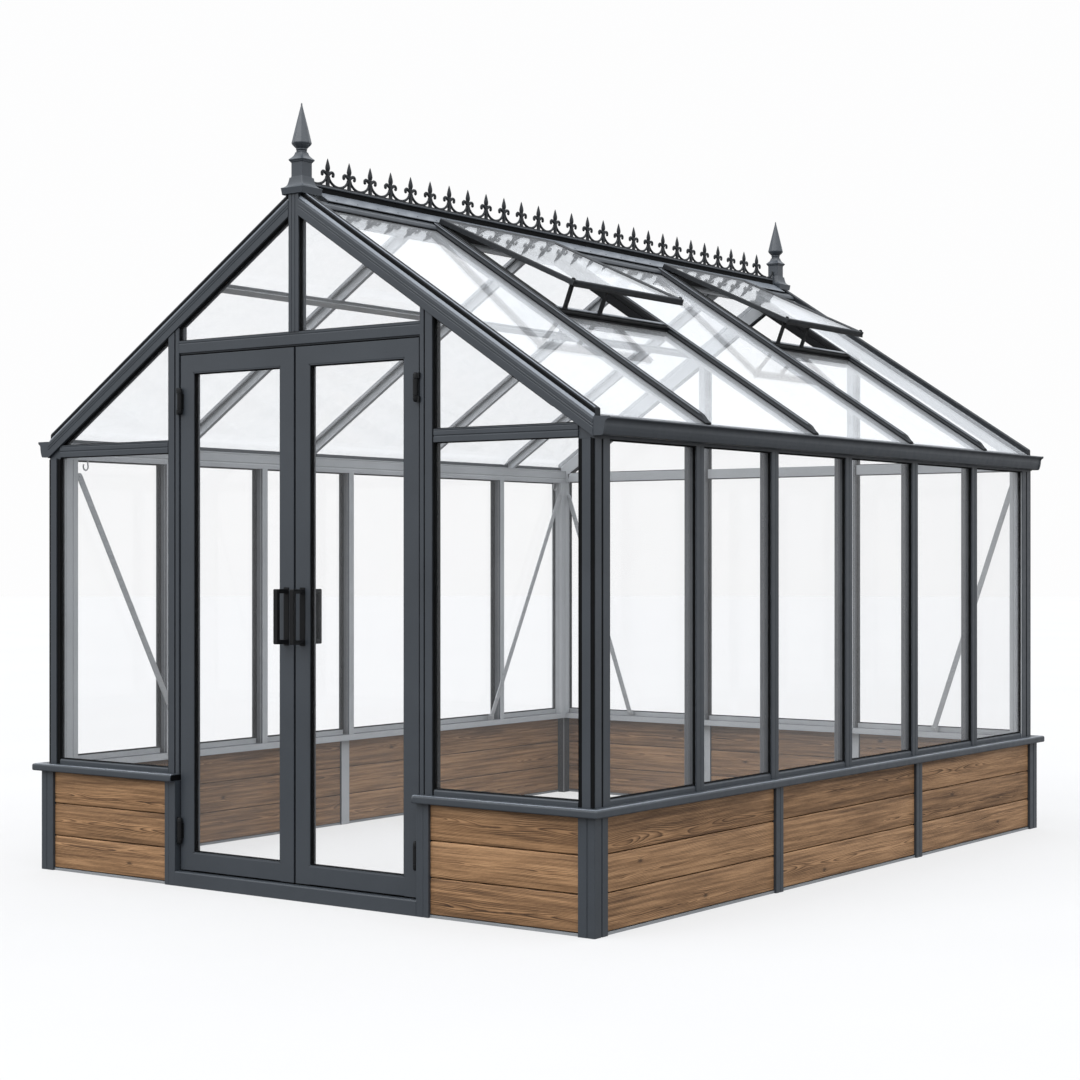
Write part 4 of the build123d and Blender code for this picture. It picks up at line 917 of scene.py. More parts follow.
def leaf(yc):
    # spear with a raised rib
    lv = [(60, 5.8, 5.0), (64, 7.4, 6.2), (69, 9.6, 7.6), (75, 10.8, 8.4), (82, 10.0, 7.9), (90, 7.8, 6.4), (98, 5.4, 4.6), (105, 3.2, 2.9), (109, 1.8, 1.7), (112, 0.6, 0.6)]
    rings = []
    for z, w, q in lv:
        rings.append([(q * math.cos(math.pi * k / 4), yc + w * math.sin(math.pi * k / 4), CB + z) for k in range(8)])
    loft(M, rings)
    # collar, stem and foot
    ball(M, (0, yc, CB + 60), 8.0, 10, 5, squash=(0.9, 1.15, 0.5))
    ball(M, (0, yc, CB + 45), 8.4, 10, 5, squash=(0.8, 1.1, 0.42))
    loft(M, [[(-q, yc - w * 0.8, CB + z), (-q * 0.7, yc - w, CB + z), (q * 0.7, yc - w, CB + z), (q, yc - w * 0.8, CB + z), (q, yc + w * 0.8, CB + z), (q * 0.7, yc + w, CB + z), (-q * 0.7, yc + w, CB + z), (-q, yc + w * 0.8, CB + z)] for z, w, q in
             ((5, 9.4, 5.0), (12, 8.0, 5.0), (24, 7.0, 4.8), (36, 7.4, 4.8), (48, 7.8, 5.4), (58, 7.0, 5.6), (66, 5.4, 4.8))])
    for k in (1, -1):
        # curled arm
        P = [(0, yc + k * 2, CB + 50), (0, yc + k * 8, CB + 53.5), (0, yc + k * 14.5, CB + 58), (0, yc + k * 21, CB + 61), (0, yc + k * 27, CB + 61), (0, yc + k * 31.5, CB + 58), (0, yc + k * 33, CB + 53), (0, yc + k * 31.4, CB + 49)]
        tube(M, P, [(5.0, 6.2), (5.2, 6.8), (5.2, 6.6), (5.2, 6.4), (5.2, 6.2), (5.0, 6.0), (4.8, 5.4), (4.0, 4.4)], 8)
        ball(M, (0, yc + k * 30.8, CB + 49.5), 7.0, 8, 5, squash=(0.8, 1, 1))


def scallop(ya, za, yb, zb, n=11):
    """Half of the arc between two leaves: from beside the stem down to the base bar."""
    P = []
    for i in range(n):
        f = i / (n - 1)
        a = math.pi / 2 * f
        P.append((0, ya + (yb - ya) * (1 - math.cos(a)) ** 0.9, za + (zb - za) * math.sin(a)))
    tube(M, P, [(4.6, 4.8)] * 3 + [(4.8, 5.4)] * (n - 3), 8)


for y in LEAVES:
    leaf(y)
    for k in (1, -1):
        h = PC / 2 if LEAVES[0] < y + k * PC / 2 < LEAVES[-1] else abs((FIN_Y - 40) - abs(y)) * 0.62
        scallop(y + k * 7.5, CB + 43, y + k * (h + 0.3), CB + 8.5)
for k in (1, -1):
    ye_ = k * (FIN_Y - 34)
    scallop(ye_, CB + 43, k * (abs(LEAVES[0]) + abs((FIN_Y - 40) - abs(LEAVES[0])) * 0.62), CB + 8.5)
M.build("cresting_castings", [CAST], slot="frame", replaces=["ridge_cresting"], weighted=False, angle=50)

# ---------------------------------------------------------------- finials ---
def sq(h, half, y, r=2.5, seg=2):
    base = rnd([(-half, -half), (half, -half), (half, half), (-half, half)], min(r, half * 0.4), seg)
    return [(p[0], y + p[1], h) for p in base]


def octa(h, r, y, n=8, ph=0.5):
    return [(r * math.cos(2 * math.pi * (k + ph) / n), y + r * math.sin(2 * math.pi * (k + ph) / n), h) for k in range(n)]


M = Mesh()
for y in (-FIN_Y, FIN_Y):
    # skirt: clipped under by the roof, so its lower ring follows the slopes
    def skirt(zc, half):
        ring = sq(zc, half, y, 3, 2)
        return ring
    lv = [(TOP - 352, 51), (TOP - 349, 52.2), (TOP - 325, 55.2), (TOP - 322, 56), (TOP - 320, 55.4), (TOP - 316.5, 47), (TOP - 312, 41.5), (TOP - 306, 38), (TOP - 296, 35.4), (TOP - 285, 33.6), (TOP - 281, 33)]
    rings = []
    for k, (h, a) in enumerate(lv):
        rg = sq(h, a, y, 3.5, 2)
        rings.append(rg)
    # the lowest ring is lifted clear of the caps, like a saddle
    low = [(p[0], p[1], max(p[2], roof(p[0], CAPH + 0.8))) for p in rings[0]]
    for k in range(len(rings)):
        rings[k] = [(p[0], p[1], max(p[2], q[2] + 0.02 * k)) for p, q in zip(rings[k], low)]
    loft(M, rings)
    # pedestal with a small step at its foot
    loft(M, [sq(TOP - 283, 30, y, 4, 3), sq(TOP - 279, 29.4, y, 4, 3), sq(TOP - 276, 28, y, 4, 3), sq(TOP - 226, 28, y, 4, 3), sq(TOP - 223.5, 29, y, 4, 3), sq(TOP - 221.5, 31.5, y, 4, 3), sq(TOP - 219, 31.8, y, 3, 3)])
    # cap: flat edge, concave flare up to the neck
    loft(M, [sq(TOP - 221, 30, y, 2.5, 3), sq(TOP - 217.5, 33.6, y, 2.5, 3), sq(TOP - 215, 35, y, 2.5, 3), sq(TOP - 212.5, 35, y, 2.5, 3), sq(TOP - 211, 34, y, 2.5, 3), sq(TOP - 207, 29.5, y, 3, 3),
             sq(TOP - 202, 25.2, y, 4, 3), sq(TOP - 197, 22, y, 5, 3), sq(TOP - 190, 19.6, y, 6, 3), sq(TOP - 186, 19, y, 6, 3)])
    n = 24
    # two rings at the neck
    for zc, rr, hh in ((TOP - 183, 20.5, 4.2), (TOP - 174.5, 21.2, 3.8)):
        loft(M, [octa(zc - hh, rr - 2.4, y, n), octa(zc - hh * 0.6, rr - 0.4, y, n), octa(zc, rr, y, n), octa(zc + hh * 0.6, rr - 0.4, y, n), octa(zc + hh, rr - 2.4, y, n)])
    loft(M, [octa(TOP - 190, 17.6, y, n), octa(TOP - 168, 17.6, y, n)])
    # bulb under the spire and the spire, eight-sided with softened arrises
    def oct_soft(h, r):
        base = [(r * math.cos(2 * math.pi * (k - 0.05) / 8), r * math.sin(2 * math.pi * (k - 0.05) / 8)) for k in range(8)]
        base = rnd(base, max(0.15, r * 0.06), 1)
        return [(p[0], y + p[1], h) for p in base]
    loft(M, [oct_soft(TOP - 171.5, 20.5), oct_soft(TOP - 168, 24.5), oct_soft(TOP - 161, 32.0), oct_soft(TOP - 154.5, 37.4), oct_soft(TOP - 151, 38.5), oct_soft(TOP - 148.5, 38.0),
             oct_soft(TOP - 100, 26.2), oct_soft(TOP - 50, 13.4), oct_soft(TOP - 12, 3.6), oct_soft(TOP - 5, 2.9), oct_soft(TOP - 1.2, 2.0), oct_soft(TOP, 0.8)])
M.build("finial_castings", [FINIAL], slot="frame", replaces=["ridge_finials"], weighted=True, angle=28)

# ------------------------------------------------------------------ glass ---
def pane(M, poly, place, g0, g1):
    p = inset(poly, 0.0)
    sweep(M, p, place, g0, g1)


MW = {}
GASK = Mesh()
for name, s in (("right", 1), ("left", -1)):
    M = Mesh()
    e = [-(UY - CL)] + [c for y in SIDE_BARS[s] for c in (y - WEB / 2, y + WEB / 2)] + [UY - CL]
    f = [-(UY - CL)] + [c for y in SIDE_BARS[s] for c in (y - 23, y + 23)] + [UY - CL]
    pl = lambda p, w, s=s: (s * w, p[0], p[1])
    for (a, b), (ga, gb) in zip(zip(e[0::2], e[1::2]), zip(f[0::2], f[1::2])):
        pane(M, [(a + 1, UP_Z - 3), (b - 1, UP_Z - 3), (b - 1, EAVE_Z0 + 0), (a + 1, EAVE_Z0 + 0)], pl, GX0, GX1)
        gasket(GASK, [(ga, UP_Z), (gb, UP_Z), (gb, EAVE_Z0), (ga, EAVE_Z0)], pl, GX1 + 0.3, 1, 5.5, 5.5)
        gasket(GASK, [(a, UP_Z), (b, UP_Z), (b, EAVE_Z0), (a, EAVE_Z0)], pl, GX0 - 0.3, -1, 3.5, 3.0)
    M.build("%s_panes" % name, [GLASS], slot="glass", replaces=["%s_wall_glass" % name], weighted=False)

xc = (RIDGE_Z - BARGE / CP - 1727.0) / TP
d1 = DOOR_HALF + POST_W
M = Mesh()
for s in (1, -1):
    pl = lambda p, w, s=s: (s * p[0], -w, p[1])
    for poly in ([(d1, UP_Z), (SIN_X, UP_Z), (SIN_X, 1680.0), (d1, 1680.0)],
                 [(d1, 1727.0), (xc, 1727.0), (d1, roof(d1, -BARGE))],
                 [(25, 2112.0), (DOOR_HALF, 2112.0), (DOOR_HALF, roof(DOOR_HALF, -BARGE)), (25, roof(25, -BARGE))]):
        pane(M, inset(poly, 0.6), pl, GY0, GY1)
        gasket(GASK, poly, pl, GY1 + 0.3, 1, 3.6, 7.0)
        gasket(GASK, poly, pl, GY0 - 0.3, -1, 3.5, 3.0)
M.build("front_panes", [GLASS], slot="glass", replaces=["front_glass"], weighted=False)

M = Mesh()
r1, r0 = REAR_X + WEB / 2, REAR_X - WEB / 2
polys = []
for s in (1, -1):
    polys += [[(s * r1, UP_Z), (s * SIN_X, UP_Z), (s * SIN_X, 1680.0), (s * r1, 1680.0)], [(s * r1, 1727.0), (s * xc, 1727.0), (s * r1, roof(r1, -BARGE))]]
polys.append([(-r0, UP_Z), (r0, UP_Z), (r0, 1680.0), (-r0, 1680.0)])
for s in (1, -1):
    polys.append([(s * 0.5, 1727.0), (s * r0, 1727.0), (s * r0, roof(r0, -BARGE)), (s * 20, roof(20, -BARGE)), (s * 20, 2545), (s * 0.5, 2545)])
for poly in polys[:5]:
    pane(M, inset(poly, 0.6), lambda p, w: (p[0], w, p[1]), GY0, GY1)
    gasket(GASK, poly, lambda p, w: (p[0], w, p[1]), GY1 + 0.3, 1, 4.5, 6.5)
    gasket(GASK, poly, lambda p, w: (p[0], w, p[1]), GY0 - 0.3, -1, 3.5, 3.0)
top = [(-r0, 1727.0), (r0, 1727.0), (r0, roof(r0, -BARGE)), (20, roof(20, -BARGE)), (20, 2545), (-20, 2545), (-20, roof(20, -BARGE)), (-r0, roof(r0, -BARGE))]
sweep(M, top, lambda p, w: (p[0], w, p[1]), GY0, GY1)
M.build("rear_panes", [GLASS], slot="glass", replaces=["rear_glass"], weighted=False)

yb = [-ROOF_IN] + [c for y in ROOF_Y for c in (y - 7, y + 7)] + [ROOF_IN]
bays = list(zip(yb[0::2], yb[1::2]))
for name, s in (("right", 1), ("left", -1)):
    M = Mesh()
    for i, (a, b) in enumerate(bays):
        top_s = VS1 if (s > 0 and i in (1, 3)) else (20 / CP)
        sweep(M, [(a + 0.5, -4), (b - 0.5, -4), (b - 0.5, 0), (a + 0.5, 0)], slope_s(s), top_s, plumb(1352))
    M.build("roof_panes_%s" % name, [GLASS_ROOF], slot="glass", replaces=["roof_glass_%s" % name], weighted=False)
GASK.build("glazing_seals", [SEAL], slot="black_fittings", weighted=False)

# ------------------------------------------------------------------ vents ---
def sash_y(M, prof, y0, y1, mat=0):
    """Profile in (r, t) of the open sash, swept along the building."""
    sweep(M, prof, lambda p, w: (sash_pt(p[0], p[1])[0], w, sash_pt(p[0], p[1])[1]), y0, y1, mat)


def sash_s(M, prof, r0, r1, mat=0):
    """Profile in (y, t), swept down the open sash."""
    sweep(M, prof, lambda p, w: (sash_pt(w, p[1])[0], p[0], sash_pt(w, p[1])[1]), r0, r1, mat)


SL = VS1 + 6 - VS0
MK, MS, MG, MY = Mesh(), Mesh(), Mesh(), Mesh()
for yc, half in VENTS:
    sh = half - 13.0
    for k in (1, -1):
        # side of the kerb: lining below the glass line and an upstand beside the roof bar
        o, i_ = yc + k * (half - 7), yc + k * (half - 42)
        sweep(MK, rnd([(o, -36), (i_, -36), (i_, -3), (yc + k * (half - 24), -1), (yc + k * (half - 24), 0), (o, 0)], 0.8, 1), slope_s(1), VS0 - 26, VS1 - 40)
        o2 = yc + k * (half - 20)
        sweep(MK, rnd([(o2, 0), (i_, 0), (i_, 17), (i_ + k * 3, 22), (o2 - k * 3, 22), (o2, 17)], 1, 2), slope_s(1), VS0 - 4, VS1)
        sweep(MK, rnd([(i_ + k * 4, 21.5), (i_ + k * 10, 21.5), (i_ + k * 9, 24), (i_ + k * 5, 24)], 0.5, 1), slope_s(1), VS0 + 30, VS1 - 6, 1)
    sweep(MK, rnd([(VS0 - 26, -36), (VS0, -36), (VS0, 0), (VS0 - 26, 0)], 1, 1), slope_y(1), yc - half + 7, yc + half - 7)
    # lower bar of the kerb: a deep member with two steps, a pale strip along its top that is a painted highlight, and
    # its seal
    y0, y1 = yc - half + 7, yc + half - 7
    sweep(MK, rnd([(VS1 - 40, -40), (VS1, -40), (VS1, -12), (VS1 - 3, -10), (VS1 - 3, -4), (VS1, -2), (VS1, 0), (VS1 - 40, 0)], 0.8, 1), slope_y(1), y0, y1)
    y0, y1 = yc - half + 20, yc + half - 20
    sweep(MK, rnd([(VS1 - 40, 0), (VS1, 0), (VS1, 5), (VS1 - 5, 7), (VS1 - 5, 12), (VS1 - 2, 14), (VS1 - 2, 18), (VS1 - 5, 22), (VS1 - 36, 22), (VS1 - 40, 19)], 0.9, 2), slope_y(1), y0, y1)
    sweep(MK, rnd([(VS1 - 38, 21.6), (VS1 - 24, 21.6), (VS1 - 24, 23.6), (VS1 - 38, 23.6)], 0.4, 1), slope_y(1), y0 + 4, y1 - 4, 2)
    sweep(MK, rnd([(VS1 - 5.5, 6.5), (VS1 - 1.5, 7), (VS1 - 1.5, 12), (VS1 - 5.5, 12.5)], 0.4, 1), slope_y(1), y0 + 1, y1 - 1, 1)
    sweep(MK, rnd([(VS1 - 14, 21.5), (VS1 - 8, 21.5), (VS1 - 9, 25), (VS1 - 13, 25)], 0.4, 1), slope_y(1), y0 + 6, y1 - 6, 1)
    # sash frame
    ya, yb_ = yc - sh, yc + sh
    for y_out, k in ((ya, 1), (yb_, -1)):
        sash_s(MS, rnd([(y_out, 0), (y_out + k * 25, 0), (y_out + k * 28, 3), (y_out + k * 28, 12), (y_out + k * 20, 16.2), (y_out + k * 4, 22), (y_out, 19)], [1, 1, 0.6, 0.6, 1, 2, 2], 2), 0, SL)
        sash_s(MS, rnd([(y_out + k * 27.5, 16), (y_out + k * 32, 16), (y_out + k * 30, 18.6), (y_out + k * 24, 18.6)], 0.4, 1), 26, SL - 26, 1)
    sash_y(MS, rnd([(0, 0), (28, 0), (28, 12), (20, 16.2), (4, 22), (0, 19)], [1, 1, 0.6, 1, 2, 2], 2), ya + 3, yb_ - 3)
    sash_y(MS, rnd([(SL, 0), (SL, 19), (SL - 4, 22), (SL - 20, 16.2), (SL - 28, 12), (SL - 28, 0)], [2, 2, 2, 1, 0.6, 1], 2), ya + 3, yb_ - 3)
    # pale strip along the lower rail: painted highlight
    sash_y(MS, rnd([(SL - 24, 15.4), (SL - 5, 22.0), (SL - 5.6, 23.4), (SL - 24, 17.2)], 0.4, 1), ya + 9, yb_ - 9, 2)
    sash_y(MS, rnd([(SL - 0.2, 2), (SL + 3.5, -3), (SL + 5, -3), (SL + 2.4, 6), (SL - 0.2, 7)], 0.4, 1), ya + 2, yb_ - 2, 1)
    # hinge line: a round bead along the top edge
    q0 = sash_pt(1.5, 6)
    tube(MS, [(q0[0], ya + 8, q0[1]), (q0[0], yb_ - 8, q0[1])], 4.6, 10, 0)
    # corner keys on the lower corners
    for y_out in (ya + 11, yb_ - 11):
        q = sash_pt(SL - 12, 18.5)
        a = math.radians(PITCH - OPEN)
        disc(MS, (q[0], y_out, q[1]), (math.sin(a), 0, math.cos(a)), 8.5, 8.0, 14, 1, dome=2.0)
    sweep(MG, [(ya + 18, 12.2), (yb_ - 18, 12.2), (yb_ - 18, 16.0), (ya + 18, 16.0)], lambda p, w: (sash_pt(w, p[1])[0], p[0], sash_pt(w, p[1])[1]), 18, SL - 18)
    # flat stays with a foot and a head plate, pinned with round studs
    for dy in (-(half - 62), -0.26 * half):
        pa, pb, pc_, pd = sv(777, 22), sv(787, 22), sash_pt(682, 0), sash_pt(672, 0)
        sweep(MY, [pa, pb, pc_, pd], lambda p, w: (p[0], w, p[1]), yc + dy - 9.4, yc + dy + 9.4)
        mid = ((pa[0] + pb[0]) / 2, (pa[1] + pb[1]) / 2)
        top_ = ((pc_[0] + pd[0]) / 2, (pc_[1] + pd[1]) / 2)
        for q, z0_, z1_ in ((mid, -4.0, 4.0), (top_, -5.0, 2.5)):
            block(MY, q[0] - 11, q[0] + 9, yc + dy - 11, yc + dy + 11, q[1] + z0_, q[1] + z1_, 1.4)
        for q, dz in ((mid, 13.0), (top_, -13.0)):
            f = dz / (top_[1] - mid[1])
            disc(MY, (q[0] + (top_[0] - mid[0]) * f + 5.2, yc + dy, q[1] + dz), (1, 0, -0.1), 5.2, 2.4, 12, dome=0.8)
MK.build("vent_kerb_sections", [FITTING, SEAL, PAINT_HIGHLIGHT], slot="frame", replaces=["vent_kerbs"])
MS.build("vent_sash_sections", [CAST, FITTING, PAINT_HIGHLIGHT], slot="frame", replaces=["vent_sashes"])
MG.build("vent_panes", [GLASS_ROOF], slot="glass", replaces=["vent_glass"], weighted=False)
MY.build("vent_stay_arms", [FITTING], slot="black_fittings", replaces=["vent_stays"], weighted=False)

# ----------------------------------------------------- braces and purlin ---
M = Mesh()
RUN_L, RUN_R = 640.0, 430.0


def strap(P0, P1, nrm, w=12.5, t=2.0):
    """Flat bar between two points with rounded ends; nrm is its face's normal."""
    A, B, N = Vector(P0), Vector(P1), Vector(nrm)
    d = (B - A).normalized()
    u = N.cross(d).normalized()
    out = []
    m = 8
    for k in range(m + 1):
        a = math.pi * k / m
        out.append(B + d * w * math.sin(a) + u * w * math.cos(a))
    for k in range(m + 1):
        a = math.pi * k / m
        out.append(A - d * w * math.sin(a) - u * w * math.cos(a))
    lo = [tuple(p - N * t) for p in out]
    hi = [tuple(p + N * t) for p in out]
    k = len(out)
    # small chamfer round the face
    cen = [(A if (p - A).length < (p - B).length else B) for p in out]
    hi2 = [tuple(p + (c - p).normalized() * 1.2 + N * t) for p, c in zip(out, cen)]
    hi1 = [tuple(p + N * (t - 0.8)) for p in out]
    loft(M, [lo, hi1, hi2])


for sy in (-1, 1):
    yt = sy * (UY - CL)
    A = (-1294.0, yt - sy * 11, 1606.0)
    B = (-1294.0, yt - sy * (RUN_L - 24), 449.0)
    strap(A, B, (1, 0, 0), w=14.0, t=1.9)
    for P in (A, B):
        disc(M, (P[0] + 1.9, P[1], P[2]), (1, 0, 0), 5.2, 3.0, 12, 0, dome=1.2)
    # little hook beside the upper end
    hk = []
    for k in range(13):
        a = math.radians(-30 + 240 * k / 12)
        hk.append((-1299.0, yt - sy * (48 + 13 * math.cos(a)), 1648 - 16 * math.sin(a)))
    tube(M, hk, 3.0, 8, flat=(1, 0, 0))
    tube(M, [(-1299, yt - sy * (48 + 13 * math.cos(math.radians(-30))), 1654), (-1299, yt - sy * (48 + 13 * math.cos(math.radians(-30))), 1674)], 3.0, 8, flat=(0, 1, 0))
    block(M, -1301, -1296.2, yt - sy * (RUN_L - 4), yt - sy * (RUN_L - 42), 431, 464, 1.2)
for s in (1, -1):
    A = (s * (SIN_X - 12), 1758.0, 1598.0)
    B = (s * (SIN_X - (RUN_R - 22)), 1758.0, 449.0)
    strap(A, B, (0, -1, 0), w=13.0, t=1.9)
    for P in (A, B):
        disc(M, (P[0], P[1] - 1.9, P[2]), (0, -1, 0), 5.2, 3.0, 12, 0, dome=1.2)
    block(M, s * (SIN_X - (RUN_R - 4)), s * (SIN_X - (RUN_R - 40)), 1760, 1765, 431, 462, 1.2)
M.build("brace_straps", [ALU], slot="bare_aluminium", replaces=["wall_braces"], weighted=False)

M = Mesh()
pf = [(505, -60), (535, -60), (535, -57.5), (522, -57.5), (522, -38.5), (535, -38.5), (535, -36), (505, -36), (505, -38.5), (518, -38.5), (518, -57.5), (505, -57.5)]
sweep(M, rnd(pf, 0.8, 2), slope_y(-1), -ROOF_IN, ROOF_IN)
M.build("purlin_section", [ALU], slot="bare_aluminium", replaces=["roof_purlin"])

# ------------------------------------------------------------------ doors ---
M = Mesh()
pf = [(-1830, 0), (-1765, 0), (-1765, 50), (-1768, 53), (-1778, 53), (-1780, 50.5), (-1790, 50.5), (-1792, 53), (-1803, 53), (-1804, 57), (-1826, 57), (-1830, 53)]
sweep(M, rnd(pf, [1, 1, 1.5, 1.5, 1, 1, 1, 1, 1, 1, 3, 3], 3), PX, -DOOR_HALF, DOOR_HALF)
block(M, -DOOR_HALF, DOOR_HALF, -1802, -1768, 52.5, 56.5, 0.8, axis="x", mat=1)
M.build("threshold_section", [PAINT, SEAL], slot="frame", replaces=["door_threshold"])

HX, HY, HZ, HLN = 591.5, -1816.0, [160.0, 1825.0], 105.0
M = Mesh()
for s in (1, -1):
    for z in HZ:
        n = 20
        for a, b, c0_, c1_ in ((z, z + 21.5, 1, 0), (z + 83.5, z + HLN, 0, 1)):
            rings = []
            if c0_:
                rings += [octa(a, 4.0, 0, n), octa(a + 1.2, 6.6, 0, n), octa(a + 4.0, 8.6, 0, n), octa(a + 7.5, 9.8, 0, n)]
            else:
                rings += [octa(a, 9.2, 0, n), octa(a + 0.8, 10.0, 0, n)]
            if c1_:
                rings += [octa(b - 7.5, 9.8, 0, n), octa(b - 4.0, 8.6, 0, n), octa(b - 1.2, 6.6, 0, n), octa(b, 4.0, 0, n)]
            else:
                rings += [octa(b - 0.8, 10.0, 0, n), octa(b, 9.2, 0, n)]
            loft(M, [[(s * HX + p[0], HY + p[1], p[2]) for p in r] for r in rings])
            pe = DOOR_HALF + (0.3 if z < SILL_Z0 else 4)
            block(M, s * HX, s * pe, HY - 2.4, -(UY - 1.4) if z > SILL_Z0 else HY + 3.0, a + 1, b - 1, 0.8)
        loft(M, [[(s * HX + p[0], HY + p[1], p[2]) for p in octa(h, 4.0, 0, 16)] for h in (z + 2, z + HLN - 2)])
M.build("hinge_pin_leaves", [FITTING], slot="black_fittings", replaces=["door_hinge_pins"], weighted=False)

for name, s in (("left", -1), ("right", 1)):
    body = "door_%s" % name
    x0, x1 = 4.5, 597.5
    z0, z1 = 62.0, 2055.0
    yo, yi = LEAF_Y, LEAF_Y + 40
    gl = LEAF_Y + 15.0
    ST = 72.0
    M = Mesh()

    def stile(o, k):
        """Plan section: o the outer edge, k the sign towards the glass."""
        p = [(o, yo + 1.5), (o + k * 1.5, yo), (o + k * (ST - 6), yo), (o + k * (ST - 5), yo + 1.0), (o + k * ST, yo + 1.0), (o + k * ST, gl - 0.2),
             (o + k * (ST - 6), gl - 0.2), (o + k * (ST - 6), gl + 4.2), (o + k * ST, gl + 4.2), (o + k * ST, gl + 12), (o + k * (ST - 5), yi - 1), (o + k * (ST - 6), yi), (o + k * 1.5, yi), (o, yi - 1.5)]
        return rnd(p, 0.7, 1)

    sweep(M, stile(x0, 1), QZ(s, 1), z0, z1)
    sweep(M, stile(x1, -1), QZ(s, 1), z0, z1)
    for o, k in ((z0, 1), (z1, -1)):
        p = [(yo + 1.5, o), (yo, o + k * 1.5), (yo, o + k * (ST - 6)), (yo + 1.0, o + k * (ST - 5)), (yo + 1.0, o + k * ST), (gl - 0.2, o + k * ST),
             (gl - 0.2, o + k * (ST - 6)), (gl + 4.2, o + k * (ST - 6)), (gl + 4.2, o + k * ST), (gl + 12, o + k * ST), (yi - 1, o + k * (ST - 5)), (yi, o + k * (ST - 6)), (yi, o + k * 1.5), (yi - 1.5, o)]
        sweep(M, rnd(p, 0.7, 1), lambda q, w, s=s: (s * w, q[0], q[1]), x0 + ST - 6.5, x1 - ST + 6.5)
    # dark seals: round the glass, on the meeting edge and along the foot
    pl = lambda p, w, s=s: (s * p[0], w, p[1])
    pp = [(x0 + ST, z0 + ST), (x1 - ST, z0 + ST), (x1 - ST, z1 - ST), (x0 + ST, z1 - ST)]
    gasket(M, pp, pl, gl - 0.3, -1, 4.5, 11.0, 1)
    gasket(M, pp, pl, gl + 4.3, 1, 3.5, 3.0, 1)
    block(M, s * (x0 - 2.4), s * (x0 + 0.3), yo + 9, yo + 17, z0 + 2, z1 - 2, 0.6, mat=1)
    block(M, s * (x0 + 4), s * (x1 - 4), yo + 8, yo + 30, z0 - 3.6, z0 + 0.3, 0.6, axis="x", mat=1)
    block(M, s * (x1 - 0.3), s * (x1 + 2.6), yo + 12, yo + 22, z0 + 2, z1 - 2, 0.6, mat=1)
    M.build("door_%s_sections" % name, [PAINT, SEAL], body=body, slot="frame", replaces=["door_%s_frame" % name])

    M = Mesh()
    sweep(M, [(x0 + ST - 5.4, z0 + ST - 5.4), (x1 - ST + 5.4, z0 + ST - 5.4), (x1 - ST + 5.4, z1 - ST + 5.4), (x0 + ST - 5.4, z1 - ST + 5.4)], pl, gl, gl + 4)
    M.build("door_%s_pane" % name, [GLASS], body=body, slot="glass", replaces=["door_%s_glass" % name], weighted=False)

    # square D pulls outside and inside, with end plates on the stile
    M = Mesh()
    hx = s * 40.5
    block(M, hx - 13, hx + 13, yo - 1.8, yo + 0.5, 944.0, 1161.0, 2.5, axis="y")
    for face, out in ((yo, -62.0), (yi, 56.0)):
        sg = 1 if out > 0 else -1
        zA, zB = 950.0, 1155.0
        r = 5.0
        # outline of the bent bar in (y, z), as a band
        def path(off):
            ys = face + out - sg * off
            pts = [(face, zA + off), (ys, zA + off), (ys, zB - off), (face, zB - off)]
            return pts
        outer = rnd(path(0.0), [0, r, r, 0], 5)
        inner = rnd(path(16.0), [0, 2.5, 2.5, 0], 5)
        m = min(len(outer), len(inner))
        rings = []
        for (oy, oz), (iy, iz) in zip(outer[:m], inner[:m]):
            ch = 1.8
            d = Vector((iy - oy, iz - oz))
            L = d.length
            d = d / L
            ring = []
            for xx, t in ((-10 + ch, 0), (10 - ch, 0), (10, ch), (10, L - ch), (10 - ch, L), (-10 + ch, L), (-10, L - ch), (-10, ch)):
                ring.append((hx + xx, oy + d.x * t, oz + d.y * t))
            rings.append(ring)
        loft(M, rings)
        for zc in (zA + 8, zB - 8):
            block(M, hx - 11.5, hx + 11.5, face, face + sg * 2.6, zc - 11, zc + 11, 2.0, axis="y")
    M.build("door_%s_pulls" % name, [FITTING], body=body, slot="black_fittings", replaces=["door_%s_handles" % name], weighted=True)

    M = Mesh()
    for z in HZ:
        a, b = z + 22.5, z + 82.5
        n = 20
        ri = 4.1
        rings = [octa(a, 4.15, 0, n), octa(a, 9.2, 0, n), octa(a + 0.8, 10.0, 0, n), octa(b - 0.8, 10.0, 0, n), octa(b, 9.2, 0, n), octa(b, 4.15, 0, n)]
        loft(M, [[(s * HX + p[0], HY + p[1], p[2]) for p in r] for r in rings], cap=False)
        block(M, s * (HX - 5.5), s * (HX - 12), LEAF_Y - 4.0, LEAF_Y, a + 0.6, b - 0.6, 1.0)
    M.build("door_%s_knuckles" % name, [FITTING], body=body, slot="black_fittings", replaces=["door_%s_hinges" % name], weighted=False)

# CAD nodes that are still shown get the matching material
for nm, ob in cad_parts.items():
    if not ob.hide_render:
        ob.data.materials.clear()
        ob.data.materials.append(PAINT)

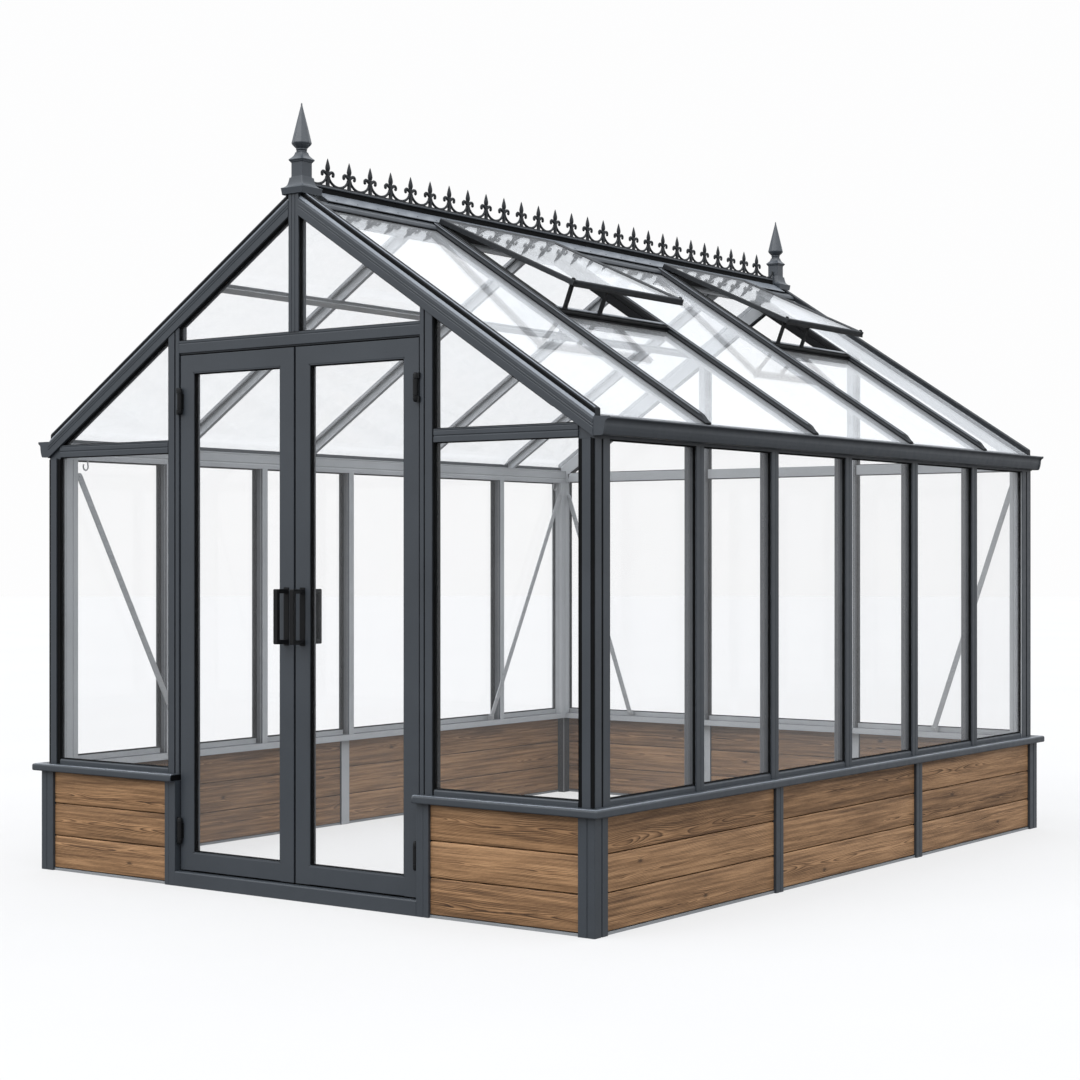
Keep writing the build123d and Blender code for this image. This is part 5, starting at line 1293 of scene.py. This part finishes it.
# ----------------------------------------------------------- stage and light ---
fm, nt, out = new_mat("pale_floor")
tc = nt.nodes.new("ShaderNodeTexCoord")
nz = noise(nt, tc.outputs["Object"], 0.6, 3.0, 0.5)
fcol = ramp(nt, nz.outputs["Fac"], [(0.3, (0.155, 0.155, 0.157)), (0.7, (0.165, 0.165, 0.167))])
d_ = node(nt, "ShaderNodeBsdfDiffuse")
nt.links.new(fcol, d_.inputs["Color"])
em = node(nt, "ShaderNodeEmission", Strength=0.665)
ad = nt.nodes.new("ShaderNodeAddShader")
nt.links.new(d_.outputs["BSDF"], ad.inputs[0])
nt.links.new(em.outputs["Emission"], ad.inputs[1])
nt.links.new(ad.outputs["Shader"], out.inputs["Surface"])
me = bpy.data.meshes.new("floor")
R_ = 60.0
ring_n = 64
verts = [(R_ * math.cos(2 * math.pi * k / ring_n), R_ * math.sin(2 * math.pi * k / ring_n), -0.0008) for k in range(ring_n)]
me.from_pydata(verts, [], [tuple(range(ring_n))])
me.materials.append(fm)
floor = bpy.data.objects.new("floor", me)
bpy.context.scene.collection.objects.link(floor)
floor.visible_diffuse = False
floor.visible_glossy = False

world = bpy.data.worlds.new("studio")
bpy.context.scene.world = world
world.use_nodes = True
nt = world.node_tree
nt.nodes.clear()
wo = nt.nodes.new("ShaderNodeOutputWorld")
bg = nt.nodes.new("ShaderNodeBackground")
tc = nt.nodes.new("ShaderNodeTexCoord")
sp = nt.nodes.new("ShaderNodeSeparateXYZ")
nt.links.new(tc.outputs["Generated"], sp.inputs[0])
below = map_range(nt, sp.outputs[2], -0.35, 0.0, 0.34, 1.0)
# what lights the part: bright above, darker at the sides and towards the horizon
zc = ramp(nt, sp.outputs[2], [(0.0, (0.70, 0.705, 0.72)), (0.12, (0.82, 0.83, 0.85)), (0.45, (1.16, 1.20, 1.25)), (1.0, (2.30, 2.38, 2.50))])
nt.links.new(zc, bg.inputs["Color"])
nt.links.new(below, bg.inputs["Strength"])
flat = nt.nodes.new("ShaderNodeBackground")
flat.inputs["Color"].default_value = (0.985, 0.985, 0.988, 1.0)
flat.inputs["Strength"].default_value = 1.0
lp = nt.nodes.new("ShaderNodeLightPath")
mw = nt.nodes.new("ShaderNodeMixShader")
nt.links.new(lp.outputs["Is Camera Ray"], mw.inputs["Fac"])
nt.links.new(bg.outputs["Background"], mw.inputs[1])
nt.links.new(flat.outputs["Background"], mw.inputs[2])
nt.links.new(mw.outputs["Shader"], wo.inputs["Surface"])


for nm_, rot_, en_, ang_ in (("key", (math.radians(52), 0, math.radians(-14)), 1.6, 50), ("side", (math.radians(58), 0, math.radians(82)), 0.65, 50)):
    li_ = bpy.data.lights.new(nm_, "SUN")
    li_.energy, li_.angle = en_, math.radians(ang_)
    lo_ = bpy.data.objects.new(nm_, li_)
    lo_.rotation_euler = rot_
    bpy.context.scene.collection.objects.link(lo_)

cam = bpy.data.cameras.new("photo_camera")
cam.lens, cam.sensor_width, cam.sensor_fit = 71.53, 36.0, "HORIZONTAL"
cam.shift_y = 0.01532
cam.clip_end = 300.0
co = bpy.data.objects.new("photo_camera", cam)
bpy.context.scene.collection.objects.link(co)
co.location = (5.4446, -7.7076, 1.2758)
co.rotation_euler = (math.radians(90), 0, math.radians(36.136))
bpy.context.scene.camera = co

sc = bpy.context.scene
sc.view_settings.view_transform = "Standard"
sc.view_settings.look = "None"
sc.render.film_transparent = False
sc.cycles.use_denoising = True
sc.cycles.max_bounces = 8
sc.cycles.transparent_max_bounces = 24
sc.cycles.diffuse_bounces = 2
sc.cycles.glossy_bounces = 2
sc.cycles.transmission_bounces = 4
sc.cycles.use_adaptive_sampling = True
sc.cycles.adaptive_threshold = 0.02
sc.cycles.caustics_reflective = False
sc.cycles.caustics_refractive = False
